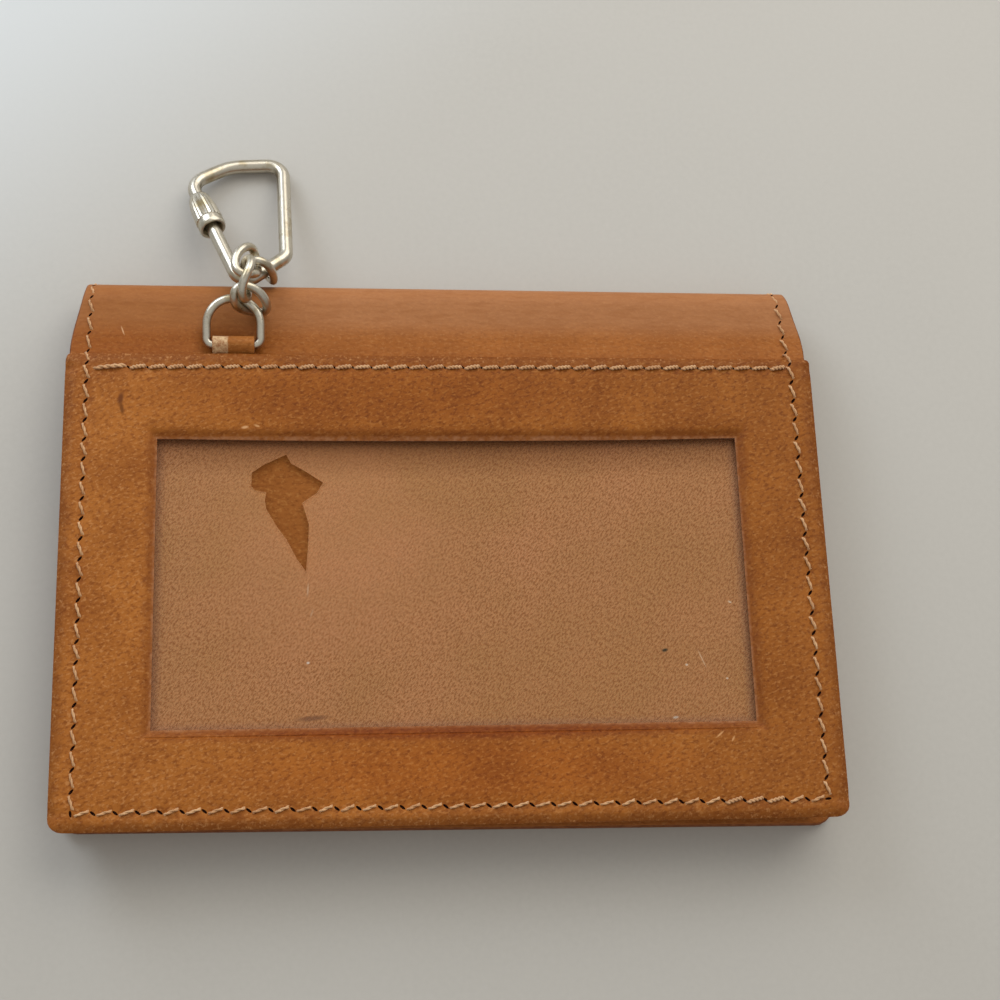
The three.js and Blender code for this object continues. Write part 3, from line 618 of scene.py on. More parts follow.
back_sheet = cut_blank(-COVER_HALF, COVER_HALF, FLANGE_START, MID_FOLD, 0, 0)
score(back_sheet, 0, spaced(-COVER_HALF, COVER_HALF, BACK_LINES)[1:-1])
score(back_sheet, 1, spaced(FLANGE_START, NECK, FLANGE_LINES)[1:])
score(back_sheet, 1, spaced(NECK, MID_FOLD, BACK_ROLL_LINES)[1:-1])
chart(back_sheet)
for vert in back_sheet.verts:
    x, along = vert.co.x, vert.co.y
    place_on, way_out = on_cover(x * cover_taper(along), along, 1)
    under_tab = 1 - soften(abs(x - TAB_X), *TAB_HOLLOW_SIDE)
    under_tab *= 1 - soften(along, *TAB_HOLLOW_FAR)
    ripple = noise.noise(Vector((x / RIPPLE_LENGTH, along / RIPPLE_WIDTH, 0))) * FOLD_RIPPLE
    shown = soften(along, *SHOWN_FROM) * (1 - soften(along, ROLL_Y, MID_FOLD))
    swell = hide_swell(x, along, BACK_SWELL) + ripple
    vert.co = place_on + way_out * (swell * shown - TAB_HOLLOW * under_tab)
cover_back = finish("cover_back_leather", back_sheet, cover_hide, burnished_edge)
thicken(cover_back, COVER_THICK, COVER_ROUND, rim_material=1, butted=True)

fold_places = spaced(FOLD_SEAM_START, MID_FOLD, FOLD_PITCH)
under_places = spaced(MID_FOLD, FRONT_SEAM_FAR + STITCH, -FOLD_PITCH)
for side, x_start, x_end in END_SEAMS:
    over = end_seam(x_start, x_end, fold_places, 1)
    punch(cover_back, [hole for hole, out in over[:-1]], [out for hole, out in over[:-1]], size=SMALL_HOLE)
    on_panel = (Vector((x_start, END_SEAM_ON_PANEL, PANEL_TOP - END_SEAM_SINK)), Vector((0, 0.3, 1)))
    over.insert(0, on_panel)
    under = end_seam(x_start, x_end, under_places, -1)
    for run, part in ((over, "flange"), (under, "spine")):
        holes = [hole for hole, out in run]
        outs = [out for hole, out in run]
        if side == "left":
            holes.reverse()
            outs.reverse()
        seam = sew(f"{part}_stitches_{side}", holes, outs, fine_stitch)
        if part == "flange":
            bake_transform(seam)
        else:
            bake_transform(seam)
        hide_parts(f"{part}_seam_{side}")
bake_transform(cover_back)
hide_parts("cover_back_flange", "spine")

# Fold lining: a strip of thin split leather.
# It is glued to the inner side of the roll and keeps the fold from creasing sharply.

FOLD_LINING_HALF = 47.9 * MM
FOLD_LINING_OUTER = 2.15 * MM
FOLD_LINING_THICK = 0.8 * MM
FOLD_LINING_ROUND = 0.15 * MM
FOLD_LINING_START = math.radians(-50)
FOLD_LINING_SWEEP = math.radians(80)
strip = bmesh.new()
strip_ends = [strip.verts.new((side * FOLD_LINING_HALF, ROLL_Y, ROLL_Z + FOLD_LINING_OUTER))
              for side in (1, -1)]
strip_edge = strip.edges.new(strip_ends)
bmesh.ops.rotate(strip, cent=(0, ROLL_Y, ROLL_Z), verts=strip.verts,
                 matrix=Matrix.Rotation(FOLD_LINING_START, 3, "X"))
bmesh.ops.spin(strip, geom=strip_ends + [strip_edge], cent=(0, ROLL_Y, ROLL_Z),
               axis=(-1, 0, 0), angle=FOLD_LINING_SWEEP, steps=10)
bmesh.ops.recalc_face_normals(strip, faces=strip.faces)
if sum(face.normal.y for face in strip.faces) < 0:
    bmesh.ops.reverse_faces(strip, faces=strip.faces)
fold_lining = finish("fold_lining_leather", strip, inner_hide, burnished_edge)
thicken(fold_lining, FOLD_LINING_THICK, FOLD_LINING_ROUND, rim_material=1)
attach(fold_lining, "fold")
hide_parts("spine_lining")

# Window half, inside: a leaf of leather seen through the window and a card pocket behind it.
# Both are sewn into the panel's seam round three edges, where the leaf is drawn up to the panel.

INNER_HALF = 49.8 * MM
LEAF_NEAR = -31.4 * MM
LEAF_FAR = 25.4 * MM
LEAF_TOP = 7.0 * MM
LEAF_THICK = 1.2 * MM
LEAF_ROUND = 0.3 * MM
LEAF_LINES = 1.7 * MM
LEAF_SWELL = 0.12 * MM
SHEET_CORNER = 1 * MM
SEWN_RISE = 0.45 * MM
SEWN_REACH = (0.5 * MM, 3.5 * MM)
FILM_HALF = 45 * MM
FILM_NEAR = -26 * MM
BACK_POCKET_MOUTH = 12 * MM
BACK_POCKET_LOW = 4.6 * MM

# Leaf hide: smooth tan leather that the film has kept clean.
leaf_hide = leather("leaf_hide", "#955820", "#773f0d", "#a66d33", 0.65)[0]
leaf_blank = cut_blank(-INNER_HALF, INNER_HALF, LEAF_NEAR, LEAF_FAR, POCKET_CORNER, SHEET_CORNER)
score(leaf_blank, 0, spaced(-INNER_HALF, INNER_HALF, LEAF_LINES)[1:-1])
score(leaf_blank, 1, spaced(LEAF_NEAR, LEAF_FAR, LEAF_LINES)[1:-1])
for vert in leaf_blank.verts:
    x, y = vert.co.x, vert.co.y
    sewn_up = soften(max(abs(x) - FILM_HALF, FILM_NEAR - y), *SEWN_REACH)
    vert.co.z = LEAF_TOP + SEWN_RISE * sewn_up - abs(hide_swell(x, y, LEAF_SWELL)) * (1 - sewn_up)
back_leaf = finish("back_leaf_leather", leaf_blank, leaf_hide, burnished_edge)
thicken(back_leaf, LEAF_THICK, LEAF_ROUND, rim_material=1)
pocket_blank = cut_pocket(INNER_HALF, LEAF_NEAR, BACK_POCKET_MOUTH, BACK_POCKET_LOW)
bmesh.ops.reverse_faces(pocket_blank, faces=pocket_blank.faces)
back_pocket = finish("back_pocket_leather", pocket_blank, inner_hide, burnished_edge)
thicken(back_pocket, THIN_LEATHER, THIN_ROUND, rim_material=1)
for piece, node in ((back_leaf, "back_leaf"), (back_pocket, "back_pocket")):
    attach(piece, "case_back")
    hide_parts(node)

# Window film: a sheet of clear plastic sewn in behind the window, now yellowed and hazy.
# It is finely pebbled from lying against leather, and torn open left of its middle,
# where the edge of the tear curls up a little.

FILM_FAR = 25.4 * MM
FILM_TOP = 7.6 * MM
FILM_THICK = 0.15 * MM
TEAR_CURL = 0.16 * MM
TEAR_MIDDLE = (-16 * MM, 9 * MM, FILM_TOP)
WINDOW_MIDDLE = (0.5 * MM, 0.45 * MM)
WINDOW_HALF = (39.1 * MM, 19.65 * MM)
FILM_TEAR = [
    (-21.5, 18.2), (-20.8, 16.9), (-18.9, 15.8), (-16.5, 14.1), (-17.4, 12.5),
    (-19.3, 11.2), (-18.8, 9.7), (-18.4, 8.2), (-18.5, 5.3), (-18.9, 1.6),
    (-20.3, 3.5), (-21.6, 6.1), (-22.9, 7.9), (-24.3, 10.4), (-24.5, 11.6),
    (-24.3, 12.7), (-25.7, 12.9), (-26.3, 13.6), (-26.2, 15.6), (-24.7, 16.7),
]
# Specks and scratches: tone, middle, turn in degrees, half length and half width.
FILM_MARKS = [
    ("#23382c", (28.2, -9.4), 15, 0.55, 0.3),
    ("#f6dcbc", (37.4, -2.9), -30, 0.36, 0.16),
    ("#fbe6cc", (31.0, -11.4), 0, 0.24, 0.2),
    ("#fbe6cc", (36.3, -13.3), 0, 0.2, 0.16),
    ("#ffeedd", (-18.7, -10.5), 20, 0.26, 0.2),
    ("#dccbb8", (29.1, -18.4), 10, 0.5, 0.22),
    ("#f0c69c", (33.1, -10.6), -68, 1.6, 0.12),
    ("#9a6c4c", (-18.2, -17.8), 4, 2.6, 0.45),
    ("#e2b68e", (-18.7, -0.7), 86, 1.1, 0.16),
    ("#dcae84", (-18.2, -3.9), 70, 0.8, 0.14),
]

# Aged film: half clear, warm pinkish brown, pebbled with painted shade on the pebbles except round the tear;
# dusty and painted shaded along the window's edges, with a painted shadow of the panel across its top.
aged_film, tree, shader, place = new_material("aged_film")
leaning = add_node(tree, "ShaderNodeMapping",
                   {"Vector": place, "Rotation": (0, 0, math.radians(58)), "Scale": (1.9, 1, 1)},
                   vector_type="TEXTURE")
from_tear = add_node(tree, "ShaderNodeVectorMath", {0: place, 1: TEAR_MIDDLE}, output="Value",
                     operation="DISTANCE")
pebbled = add_node(tree, "ShaderNodeMapRange",
                   {"Value": from_tear, "From Min": 6 * MM, "From Max": 22 * MM, "To Min": 0.5,
                    "To Max": 0.95})
hazy = speckle(tree, place, "#dd9f6d", "#d29a63", 16, 0.35, 0.65, detail=3)[0]
# Painted shade: darker specks on the pebbles stand in for their shaded sides, alongside the bump.
film_pebble_shade, pebbles = speckle(tree, leaning, hazy, "#aa6f40", 0.23, 0.46, 0.6, share=pebbled)
rim = edge_distance(tree, place, WINDOW_MIDDLE, WINDOW_HALF)
# Dust and painted shade: the film darkens and greys towards the window's edges.
dust_and_shade = add_node(tree, "ShaderNodeMapRange",
                 {"Value": rim, "From Min": -1.4 * MM, "From Max": 0.1 * MM, "To Max": 0.4},
                 interpolation_type="SMOOTHSTEP")
film_colour = add_node(tree, "ShaderNodeMix", {0: dust_and_shade, 6: film_pebble_shade, 7: "#957060"},
                       output=2, data_type="RGBA")
# Painted shadow: the film is darkened across the top of the window, as if shaded by the panel's far rim.
film_colour = mark(tree, place, film_colour, "#ccbeb0", (0, 21), 0, 90, 6.5, laid="MULTIPLY")
for tone, middle, turn, length, width in FILM_MARKS:
    film_colour = mark(tree, place, film_colour, tone, middle, turn, length, width)
tree.links.new(film_colour, shader.inputs["Base Color"])
cover_share = add_node(tree, "ShaderNodeMapRange", {"Value": dust_and_shade, "To Min": 0.4, "To Max": 0.55})
tree.links.new(cover_share, shader.inputs["Alpha"])
film_bump = add_node(tree, "ShaderNodeBump",
                     {"Height": pebbles, "Distance": 0.12 * MM, "Strength": pebbled})
tree.links.new(film_bump, shader.inputs["Normal"])
shader.inputs["Roughness"].default_value = 0.45
shader.inputs["IOR"].default_value = 1.49
shader.inputs["Specular IOR Level"].default_value = 0.25

film = cut_blank(-FILM_HALF, FILM_HALF, FILM_NEAR, FILM_FAR, SHEET_CORNER, SHEET_CORNER)
bmesh.ops.delete(film, geom=film.faces[:], context="FACES_ONLY")
tear = [film.verts.new((x * MM, y * MM, 0)) for x, y in FILM_TEAR]
tear_edges = [film.edges.new((vert, tear[i - 1])) for i, vert in enumerate(tear)]
bmesh.ops.triangle_fill(film, edges=film.edges[:], use_beauty=True, normal=(0, 0, 1))
curl = bmesh.ops.extrude_edge_only(film, edges=tear_edges)["geom"]
for vert in [g for g in curl if isinstance(g, bmesh.types.BMVert)]:
    vert.co.z += TEAR_CURL * (0.6 + 0.6 * noise.noise(vert.co / (3 * MM)))
bmesh.ops.translate(film, vec=(0, 0, FILM_TOP), verts=film.verts)
bmesh.ops.recalc_face_normals(film, faces=film.faces)
if sum(face.normal.z * face.calc_area() for face in film.faces) < 0:
    bmesh.ops.reverse_faces(film, faces=film.faces)
window_film = finish("window_film_sheet", film, aged_film)
wall = window_film.modifiers.new("thickness", "SOLIDIFY")
wall.thickness = FILM_THICK
wall.offset = -1
settle(window_film, crease=30)
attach(window_film, "case_back")
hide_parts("window_film")

# Window panel: one frame of cover leather with the window cut out of its middle.
# It is sewn down round its edges through slanted awl holes, which pull the leather in along the seams;
# its outer edges are rubbed round, and it slopes down to the window, with a crease along the near side.

PANEL_HALF = 51 * MM
PANEL_NEAR = -31.9 * MM
PANEL_FAR = 31.9 * MM
FAR_SKEW_LEFT = 0.5 * MM
FAR_SKEW_RIGHT = -0.2 * MM
FAR_SKEW_START = 30.7 * MM
WINDOW_LEFT, WINDOW_RIGHT = -38.6 * MM, 39.6 * MM
WINDOW_NEAR, WINDOW_FAR = -19.2 * MM, 20.1 * MM
WINDOW_SAG = 0.38 * MM
WINDOW_SAG_FADE = 6 * MM
WINDOW_CREASE = 1.05 * MM
RIM_DROP = 0.62 * MM
RIM_WIDTH = 1.4 * MM
CREASE_DEPTH = 0.14 * MM
CREASE_HALF = 0.15 * MM
RAW_REACH = 1.5 * MM
PANEL_THICK = 0.85 * MM
PANEL_ROUND = 0.28 * MM
PANEL_SWELL = 0.09 * MM
PANEL_NEAR_CORNER = 1.8 * MM
PANEL_FAR_CORNER = 0.9 * MM
PANEL_LINES = 2.2 * MM
MARGIN_LINES_X = (-45.5, -43.8, -42, 42.4, 44, 45.5)
MARGIN_LINES_Y = (-27.2, -25.4, -23.5, -21.8, 23.2, 25, 27)
SEAM_LINE = 0.45 * MM
RIM_LINE = 0.35 * MM
TAB_HUMP = 0.3 * MM
TAB_HUMP_WIDTH = 4 * MM
TAB_HUMP_RISE = (28.5 * MM, 31.5 * MM)
SIDE_STITCHES = 22
NEAR_STITCHES = 35
SEAM_HALF = NEAR_STITCHES / 2 * STITCH
SEAM_NEAR = -29.6 * MM
SEAM_FAR = SEAM_NEAR + SIDE_STITCHES * STITCH
TOP_SEAM_HALF = 47.6 * MM
TOP_SEAM_Y = 30.2 * MM
TOP_STITCHES = 38
SEAM_SINK = 0.2 * MM
SEAM_SINK_WIDTH = 0.75 * MM
EDGE_DROP = 0.6 * MM
EDGE_ROUND = 1.8 * MM
# Marks and stains: tone, middle, turn in degrees, half length and half width.
PANEL_MARKS = [
    ("#6e3a12", (-43.5, 25.6), 80, 1.2, 0.5),
    ("#74400f", (-43.3, 24.2), 100, 1.2, 0.35),
    ("#cf9c6c", (-27, 21.5), 10, 0.6, 0.25),
    ("#c8925e", (-25.4, 21.7), -20, 0.5, 0.2),
    ("#c8925e", (34.5, -21), 40, 0.8, 0.16),
    ("#c8925e", (36.2, -21.6), 60, 0.5, 0.16),
]
PANEL_STAINS = [
    ("#eee2c0", (-8, 26.5), 0, 38, 7),
    ("#faeccf", (2, -25), 0, 36, 6),
    ("#dcc2a4", (0.5, -20.1), 0, 48, 1.3),
]

# Panel hide: the most handled leather, oiled darker to the right; redder along its edges and the window,
# with pale fibres bared at its rims.
panel_hide, tree, shader, place, colour = leather(
    "panel_hide", "#ad6928", "#763a09", "#c0834a", 0.55, lean=math.radians(20))
ragged = add_node(tree, "ShaderNodeTexNoise", {"Vector": place, "Scale": 1 / (2.2 * MM), "Detail": 5})
ragged_mm = add_node(tree, "ShaderNodeMapRange",
                     {"Value": ragged, "To Min": -1.6 * MM, "To Max": 1.6 * MM})
outer = edge_distance(tree, place, (0, 0), (PANEL_HALF, PANEL_FAR))
outer_rough = add_node(tree, "ShaderNodeMath", {0: outer, 1: ragged_mm}, operation="ADD")
worn_edge = add_node(tree, "ShaderNodeMapRange",
                     {"Value": outer_rough, "From Min": -2.2 * MM, "From Max": 0, "To Max": 0.55},
                     interpolation_type="SMOOTHSTEP")
across = add_node(tree, "ShaderNodeSeparateXYZ", {"Vector": place}).node
oily = add_node(tree, "ShaderNodeMath",
                {0: across.outputs["Y"], 1: 0.8, 2: across.outputs["X"]}, operation="MULTIPLY_ADD")
oily_share = add_node(tree, "ShaderNodeMapRange",
                      {"Value": oily, "From Min": -45 * MM, "From Max": 60 * MM, "To Max": 0.55})
oiled = add_node(tree, "ShaderNodeMix", {0: oily_share, 6: colour, 7: "#d0c286"},
                 output=2, data_type="RGBA", blend_type="MULTIPLY")
edged = add_node(tree, "ShaderNodeMix", {0: worn_edge, 6: oiled, 7: "#723a0f"},
                 output=2, data_type="RGBA")
window_rim = edge_distance(tree, place, WINDOW_MIDDLE, WINDOW_HALF)
rim_rough = add_node(tree, "ShaderNodeMath", {0: window_rim, 1: ragged_mm}, operation="ADD")
dark_rim = add_node(tree, "ShaderNodeMapRange",
                    {"Value": rim_rough, "From Min": 1.7 * MM, "From Max": 0.3 * MM, "To Max": 0.45},
                    interpolation_type="SMOOTHSTEP")
rimmed = add_node(tree, "ShaderNodeMix", {0: dark_rim, 6: edged, 7: "#743a12"},
                  output=2, data_type="RGBA")
fibres = add_node(tree, "ShaderNodeTexNoise", {"Vector": place, "Scale": 1 / (0.8 * MM), "Detail": 4})
frayed = add_node(tree, "ShaderNodeMapRange",
                  {"Value": fibres, "From Min": 0.4, "From Max": 0.66, "To Min": 0.1, "To Max": 0.65})
lip = add_node(tree, "ShaderNodeMapRange",
               {"Value": window_rim, "From Min": 0.36 * MM, "From Max": 0.05 * MM})
frayed_lip = add_node(tree, "ShaderNodeMath", {0: frayed, 1: lip}, operation="MULTIPLY")
lipped = add_node(tree, "ShaderNodeMix", {0: frayed_lip, 6: rimmed, 7: "#b07c58"},
                  output=2, data_type="RGBA")
for tone, middle, turn, length, width in PANEL_STAINS:
    lipped = mark(tree, place, lipped, tone, middle, turn, length, width, laid="MULTIPLY")
flecks = add_node(tree, "ShaderNodeTexNoise",
                  {"Vector": place, "Scale": 1 / (0.45 * MM), "Detail": 3, "Roughness": 0.7})
fleck_share = add_node(tree, "ShaderNodeMapRange",
                       {"Value": flecks, "From Min": 0.56, "From Max": 0.68, "To Max": 0.8})
at_edge = add_node(tree, "ShaderNodeMapRange",
                   {"Value": outer, "From Min": -2.0 * MM, "From Max": -0.4 * MM})
edge_flecks = add_node(tree, "ShaderNodeMath", {0: fleck_share, 1: at_edge}, operation="MULTIPLY")
worn = add_node(tree, "ShaderNodeMix", {0: edge_flecks, 6: lipped, 7: "#b9824f"},
                output=2, data_type="RGBA")
for tone, middle, turn, length, width in PANEL_MARKS:
    worn = mark(tree, place, worn, tone, middle, turn, length, width)
tree.links.new(worn, shader.inputs["Base Color"])

# Raw edge: the leather's cut edge round the window, pale and pinkish where the blade bared it; also laid on
# the panel's far outer edge, partly as a painted highlight.
raw_edge_and_highlight, tree, shader, place = new_material("raw_edge_and_highlight")
raw_colour = speckle(tree, place, "#8a5230", "#c19372", 1.1, 0.35, 0.7, detail=4, roughness=0.7)[0]
tree.links.new(raw_colour, shader.inputs["Base Color"])
shader.inputs["Roughness"].default_value = 0.75


def seam_dip(x, y):
    """How far the sewing pulls the panel down at a place."""
    away = min(abs(abs(x) - SEAM_HALF), abs(y - SEAM_NEAR), abs(y - TOP_SEAM_Y))
    return SEAM_SINK * math.exp(-(away / SEAM_SINK_WIDTH) ** 2)


def window_away(x, y):
    """How far a place of the panel lies from the window's edge."""
    return max(abs(x - WINDOW_MIDDLE[0]) - WINDOW_HALF[0], abs(y - WINDOW_MIDDLE[1]) - WINDOW_HALF[1])


panel = cut_blank(-PANEL_HALF, PANEL_HALF, PANEL_NEAR, PANEL_FAR, PANEL_NEAR_CORNER, PANEL_FAR_CORNER)
seam_lines = [k * SEAM_LINE for k in range(-3, 4)]
rim_lines = [k * RIM_LINE for k in range(5)]
edge_lines = [k * RIM_LINE for k in range(1, 4)]
score(panel, 0, [side * (SEAM_HALF + k) for side in (-1, 1) for k in seam_lines])
score(panel, 0, [side * (PANEL_HALF - k) for side in (-1, 1) for k in edge_lines])
score(panel, 0, [WINDOW_LEFT - k for k in rim_lines] + [WINDOW_RIGHT + k for k in rim_lines])
score(panel, 0, spaced(WINDOW_LEFT, WINDOW_RIGHT, PANEL_LINES)[1:-1])
score(panel, 0, [x * MM for x in MARGIN_LINES_X])
score(panel, 1, [SEAM_NEAR + k for k in seam_lines] + [TOP_SEAM_Y + k for k in seam_lines])
score(panel, 1, [PANEL_NEAR + k for k in edge_lines] + [PANEL_FAR - k for k in edge_lines])
score(panel, 1, [WINDOW_NEAR - k for k in rim_lines] + [WINDOW_FAR + k for k in rim_lines])
score(panel, 1, [WINDOW_NEAR - WINDOW_CREASE + side * CREASE_HALF for side in (-1, 1)])
score(panel, 1, spaced(WINDOW_NEAR, WINDOW_FAR, PANEL_LINES)[1:-1])
score(panel, 1, [y * MM for y in MARGIN_LINES_Y])
opening = [f for f in panel.faces if window_away(*f.calc_center_median().xy) < 0]
bmesh.ops.delete(panel, geom=opening, context="FACES")
for vert in panel.verts:
    x, y = vert.co.x, vert.co.y
    away = window_away(x, y)
    inside = min(PANEL_HALF - abs(x), PANEL_FAR - abs(y))
    rub = max(0, 1 - inside / EDGE_ROUND)
    over_tab = math.exp(-((x - TAB_X) / TAB_HUMP_WIDTH) ** 2) * soften(y, *TAB_HUMP_RISE)
    z = PANEL_TOP + hide_swell(x, y, PANEL_SWELL) - seam_dip(x, y) - EDGE_DROP * rub ** 2
    z -= RIM_DROP * (1 - soften(away, 0, RIM_WIDTH))
    z += TAB_HUMP * over_tab
    if abs(WINDOW_NEAR - WINDOW_CREASE - y) < HAIR and away > 0 and abs(x) < WINDOW_RIGHT:
        z -= CREASE_DEPTH
    sag = max(0, 1 - ((x - WINDOW_MIDDLE[0]) / WINDOW_HALF[0]) ** 2)
    y -= WINDOW_SAG * sag * (1 - soften(abs(y - WINDOW_FAR), 0, WINDOW_SAG_FADE))
    share = 0.5 + x / (2 * PANEL_HALF)
    y += (FAR_SKEW_LEFT * (1 - share) + FAR_SKEW_RIGHT * share) * soften(y, FAR_SKEW_START, PANEL_FAR)
    vert.co = (x, y, z)
window_panel = finish("window_panel_leather", panel, panel_hide, burnished_edge, raw_edge_and_highlight)
thicken(window_panel, PANEL_THICK, PANEL_ROUND, rim_material=1)
# Round the window the cut edge is raw; the far outer edge, facing the lamp, gets the same pale leather partly
# as a painted highlight.
for face in window_panel.data.polygons:
    beside_window = window_away(*face.center.xy) < RAW_REACH
    if face.material_index == 1 and (beside_window or face.normal.y > 0.5):
        face.material_index = 2

UP = Vector((0, 0, 1))
seam_level = PANEL_TOP - SEAM_SINK
edge_holes = edge_run(SEAM_HALF, SEAM_NEAR, SEAM_FAR, seam_level, SIDE_STITCHES, NEAR_STITCHES)
edge_outs = [UP] * len(edge_holes)
top_holes = run_of_holes(Vector((-TOP_SEAM_HALF, TOP_SEAM_Y, seam_level)),
                         Vector((TOP_SEAM_HALF, TOP_SEAM_Y, seam_level)), TOP_STITCHES)
del top_holes[1]  # the first stitch was laid twice as long
top_outs = [UP] * len(top_holes)
punch(window_panel, edge_holes, edge_outs)
punch(window_panel, top_holes[1:-1], top_outs[1:-1], size=SMALL_HOLE)
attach(window_panel, "case_back")
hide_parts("window_panel")

# Seams of the panel: the same linen; the cross seam at the top is sewn with stouter thread,
# and a few stitches at the near right corner have been sewn over twice.

STOUT_PLY = 0.17 * MM
STOUT_SHOWN = 2.3 * MM
STOUT_TURNS = 2.4
STOUT_STEPS = 14
TOP_SLANT = 0.14 * MM
TOP_PITCH = 2.55 * MM
SEWN_TWICE = (52, 53, 54)
stout_stitch = twist_stitch(STOUT_PLY, STOUT_SHOWN, STITCH_SLANT, STOUT_TURNS, STOUT_STEPS)
level_stitch = twist_stitch(STOUT_PLY, STOUT_SHOWN, TOP_SLANT, STOUT_TURNS, STOUT_STEPS)
panel_seam = sew("panel_stitches", edge_holes, edge_outs, fine_stitch,
                 thick=SEWN_TWICE, thick_thread=stout_stitch)
top_seam = sew("panel_top_stitches", top_holes, top_outs, level_stitch, pitch=TOP_PITCH)
for piece, node in ((panel_seam, "panel_seam"), (top_seam, "panel_top_seam")):
    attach(piece, "case_back")
    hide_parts(node)

# Chain tab: a narrow strap of thin leather, folded round the bar of the end ring.
# Both its ends are sewn in under the window panel; its skin has flaked off near one edge.

TAB_WIDTH = 5.7 * MM
TAB_THICK = 0.5 * MM
TAB_ROUND = 0.14 * MM
TAB_LINES = 0.95 * MM
BAR = Vector((TAB_X, 33.7 * MM, 8.3 * MM))
LOOP_RADIUS = 0.93 * MM
LOOP_START = math.radians(-112)
LOOP_SWEEP = math.radians(220)
# The strap seen from its right side: y and z on its way to the loop, and from the loop back.
STRAP_START = (26.4, 6.6)
STRAP_OUT = [(30.5, 6.62), (31.6, 6.75), (32.6, 7.0)]
STRAP_BACK = [(32.85, 8.75), (32.6, 7.9), (32.2, 7.4), (31.5, 7.2), (26.4, 7.2)]

# Tab hide: like the panel, with a flaked patch of pale raw leather.
tab_hide, tree, shader, place, colour = leather(
    "tab_hide", "#a8672d", "#8a5020", "#b87d45", 0.55)
raw_tone, ragged = speckle(tree, place, "#a5714a", "#dab88c", 0.7, 0.38, 0.6, detail=4, roughness=0.7)
across_tab = add_node(tree, "ShaderNodeSeparateXYZ", {"Vector": place}, output="X")
patch_side = add_node(tree, "ShaderNodeMath", {0: ragged, 1: 0.7 * MM, 2: across_tab},
                      operation="MULTIPLY_ADD")
flaked = add_node(tree, "ShaderNodeMapRange",
                  {"Value": patch_side, "From Min": TAB_X - 0.3 * MM, "From Max": TAB_X - 0.45 * MM})
tab_colour = add_node(tree, "ShaderNodeMix", {0: flaked, 6: colour, 7: raw_tone},
                      output=2, data_type="RGBA")
tree.links.new(tab_colour, shader.inputs["Base Color"])


def open_verts(tip):
    """The vertices of an open end."""
    return [g for g in tip if isinstance(g, bmesh.types.BMVert)]


def stretch(bm, tip, along):
    """Draws the open end of a strap or wire straight on, and gives back its new open end."""
    open_edges = [g for g in tip if isinstance(g, bmesh.types.BMEdge)]
    made = bmesh.ops.extrude_edge_only(bm, edges=open_edges)["geom"]
    ends = open_verts(made)
    bmesh.ops.translate(bm, vec=along, verts=ends)
    return ends + [g for g in made if isinstance(g, bmesh.types.BMEdge)
                   and g.verts[0] in ends and g.verts[1] in ends]


def stretch_to(bm, tip, y, z):
    """Draws the strap straight on to a place seen from its side."""
    here = open_verts(tip)[0].co
    return stretch(bm, tip, Vector((0, y - here.y, z - here.z)))


strap = bmesh.new()
strap_row = [strap.verts.new((TAB_X + x, STRAP_START[0] * MM, STRAP_START[1] * MM))
             for x in spaced(-TAB_WIDTH / 2, TAB_WIDTH / 2, TAB_LINES)]
strap_tip = strap_row + [strap.edges.new(pair) for pair in zip(strap_row, strap_row[1:])]
for y, z in STRAP_OUT:
    strap_tip = stretch_to(strap, strap_tip, y * MM, z * MM)
loop_start = BAR + Matrix.Rotation(LOOP_START, 3, "X") @ Vector((0, LOOP_RADIUS, 0))
strap_tip = stretch_to(strap, strap_tip, loop_start.y, loop_start.z)
strap_tip = bmesh.ops.spin(strap, geom=strap_tip, cent=BAR, axis=(1, 0, 0), angle=LOOP_SWEEP,
                           steps=16)["geom_last"]
for y, z in STRAP_BACK:
    strap_tip = stretch_to(strap, strap_tip, y * MM, z * MM)
bmesh.ops.recalc_face_normals(strap, faces=strap.faces)
crest = max(strap.faces, key=lambda face: face.calc_center_median().z)
if crest.normal.z < 0:
    bmesh.ops.reverse_faces(strap, faces=strap.faces)
chain_tab = finish("chain_tab_strap", strap, tab_hide, burnished_edge)
wall = chain_tab.modifiers.new("thickness", "SOLIDIFY")
wall.thickness = TAB_THICK
wall.offset = 0
wall.material_offset_rim = 1
rounding = chain_tab.modifiers.new("rounded edges", "BEVEL")
rounding.width = TAB_ROUND
rounding.segments = 2
rounding.limit_method = "ANGLE"
rounding.angle_limit = math.radians(60)
settle(chain_tab)
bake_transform(chain_tab)
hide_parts("chain_tab", "tab_root")

# End ring: round nickel-plated wire bent to a straight bar and an arch.
# The bar lies in the loop of the tab, where the wire's ends butt; the first chain link hangs on the arch.

END_WIRE = 1.18 * MM
END_RING_LEAN = math.radians(15.6)
END_RING_HALF = 3.65
END_RING_REACH = 6.35
BAR_CORNER = 0.85
WELD = 0.002 * MM
# Corners of the bent wire and the radius of each bend.
END_RING_CORNERS = [
    ((END_RING_HALF, 0), BAR_CORNER),
    ((END_RING_HALF, END_RING_REACH), END_RING_HALF),
    ((-END_RING_HALF, END_RING_REACH), END_RING_HALF),
    ((-END_RING_HALF, 0), BAR_CORNER),
]

# Worn nickel: a warm pale metal, hazed by handling, with brassy rubbed places and dark grime.
nickel, tree, shader, place = new_material("worn_nickel")
brassy = speckle(tree, place, "#cbc4b4", "#ab9a74", 2.4, 0.5, 0.72, detail=4)[0]
nickel_colour, scuffs = speckle(tree, place, brassy, "#7a6f5c", 0.5, 0.58, 0.8, share=0.5, detail=3,
                                roughness=0.6)
tree.links.new(nickel_colour, shader.inputs["Base Color"])
polish = add_node(tree, "ShaderNodeMapRange", {"Value": scuffs, "To Min": 0.2, "To Max": 0.42})
tree.links.new(polish, shader.inputs["Roughness"])
shader.inputs["Metallic"].default_value = 1
dents = add_node(tree, "ShaderNodeBump", {"Height": scuffs, "Distance": 0.02 * MM, "Strength": 0.2})
tree.links.new(dents, shader.inputs["Normal"])


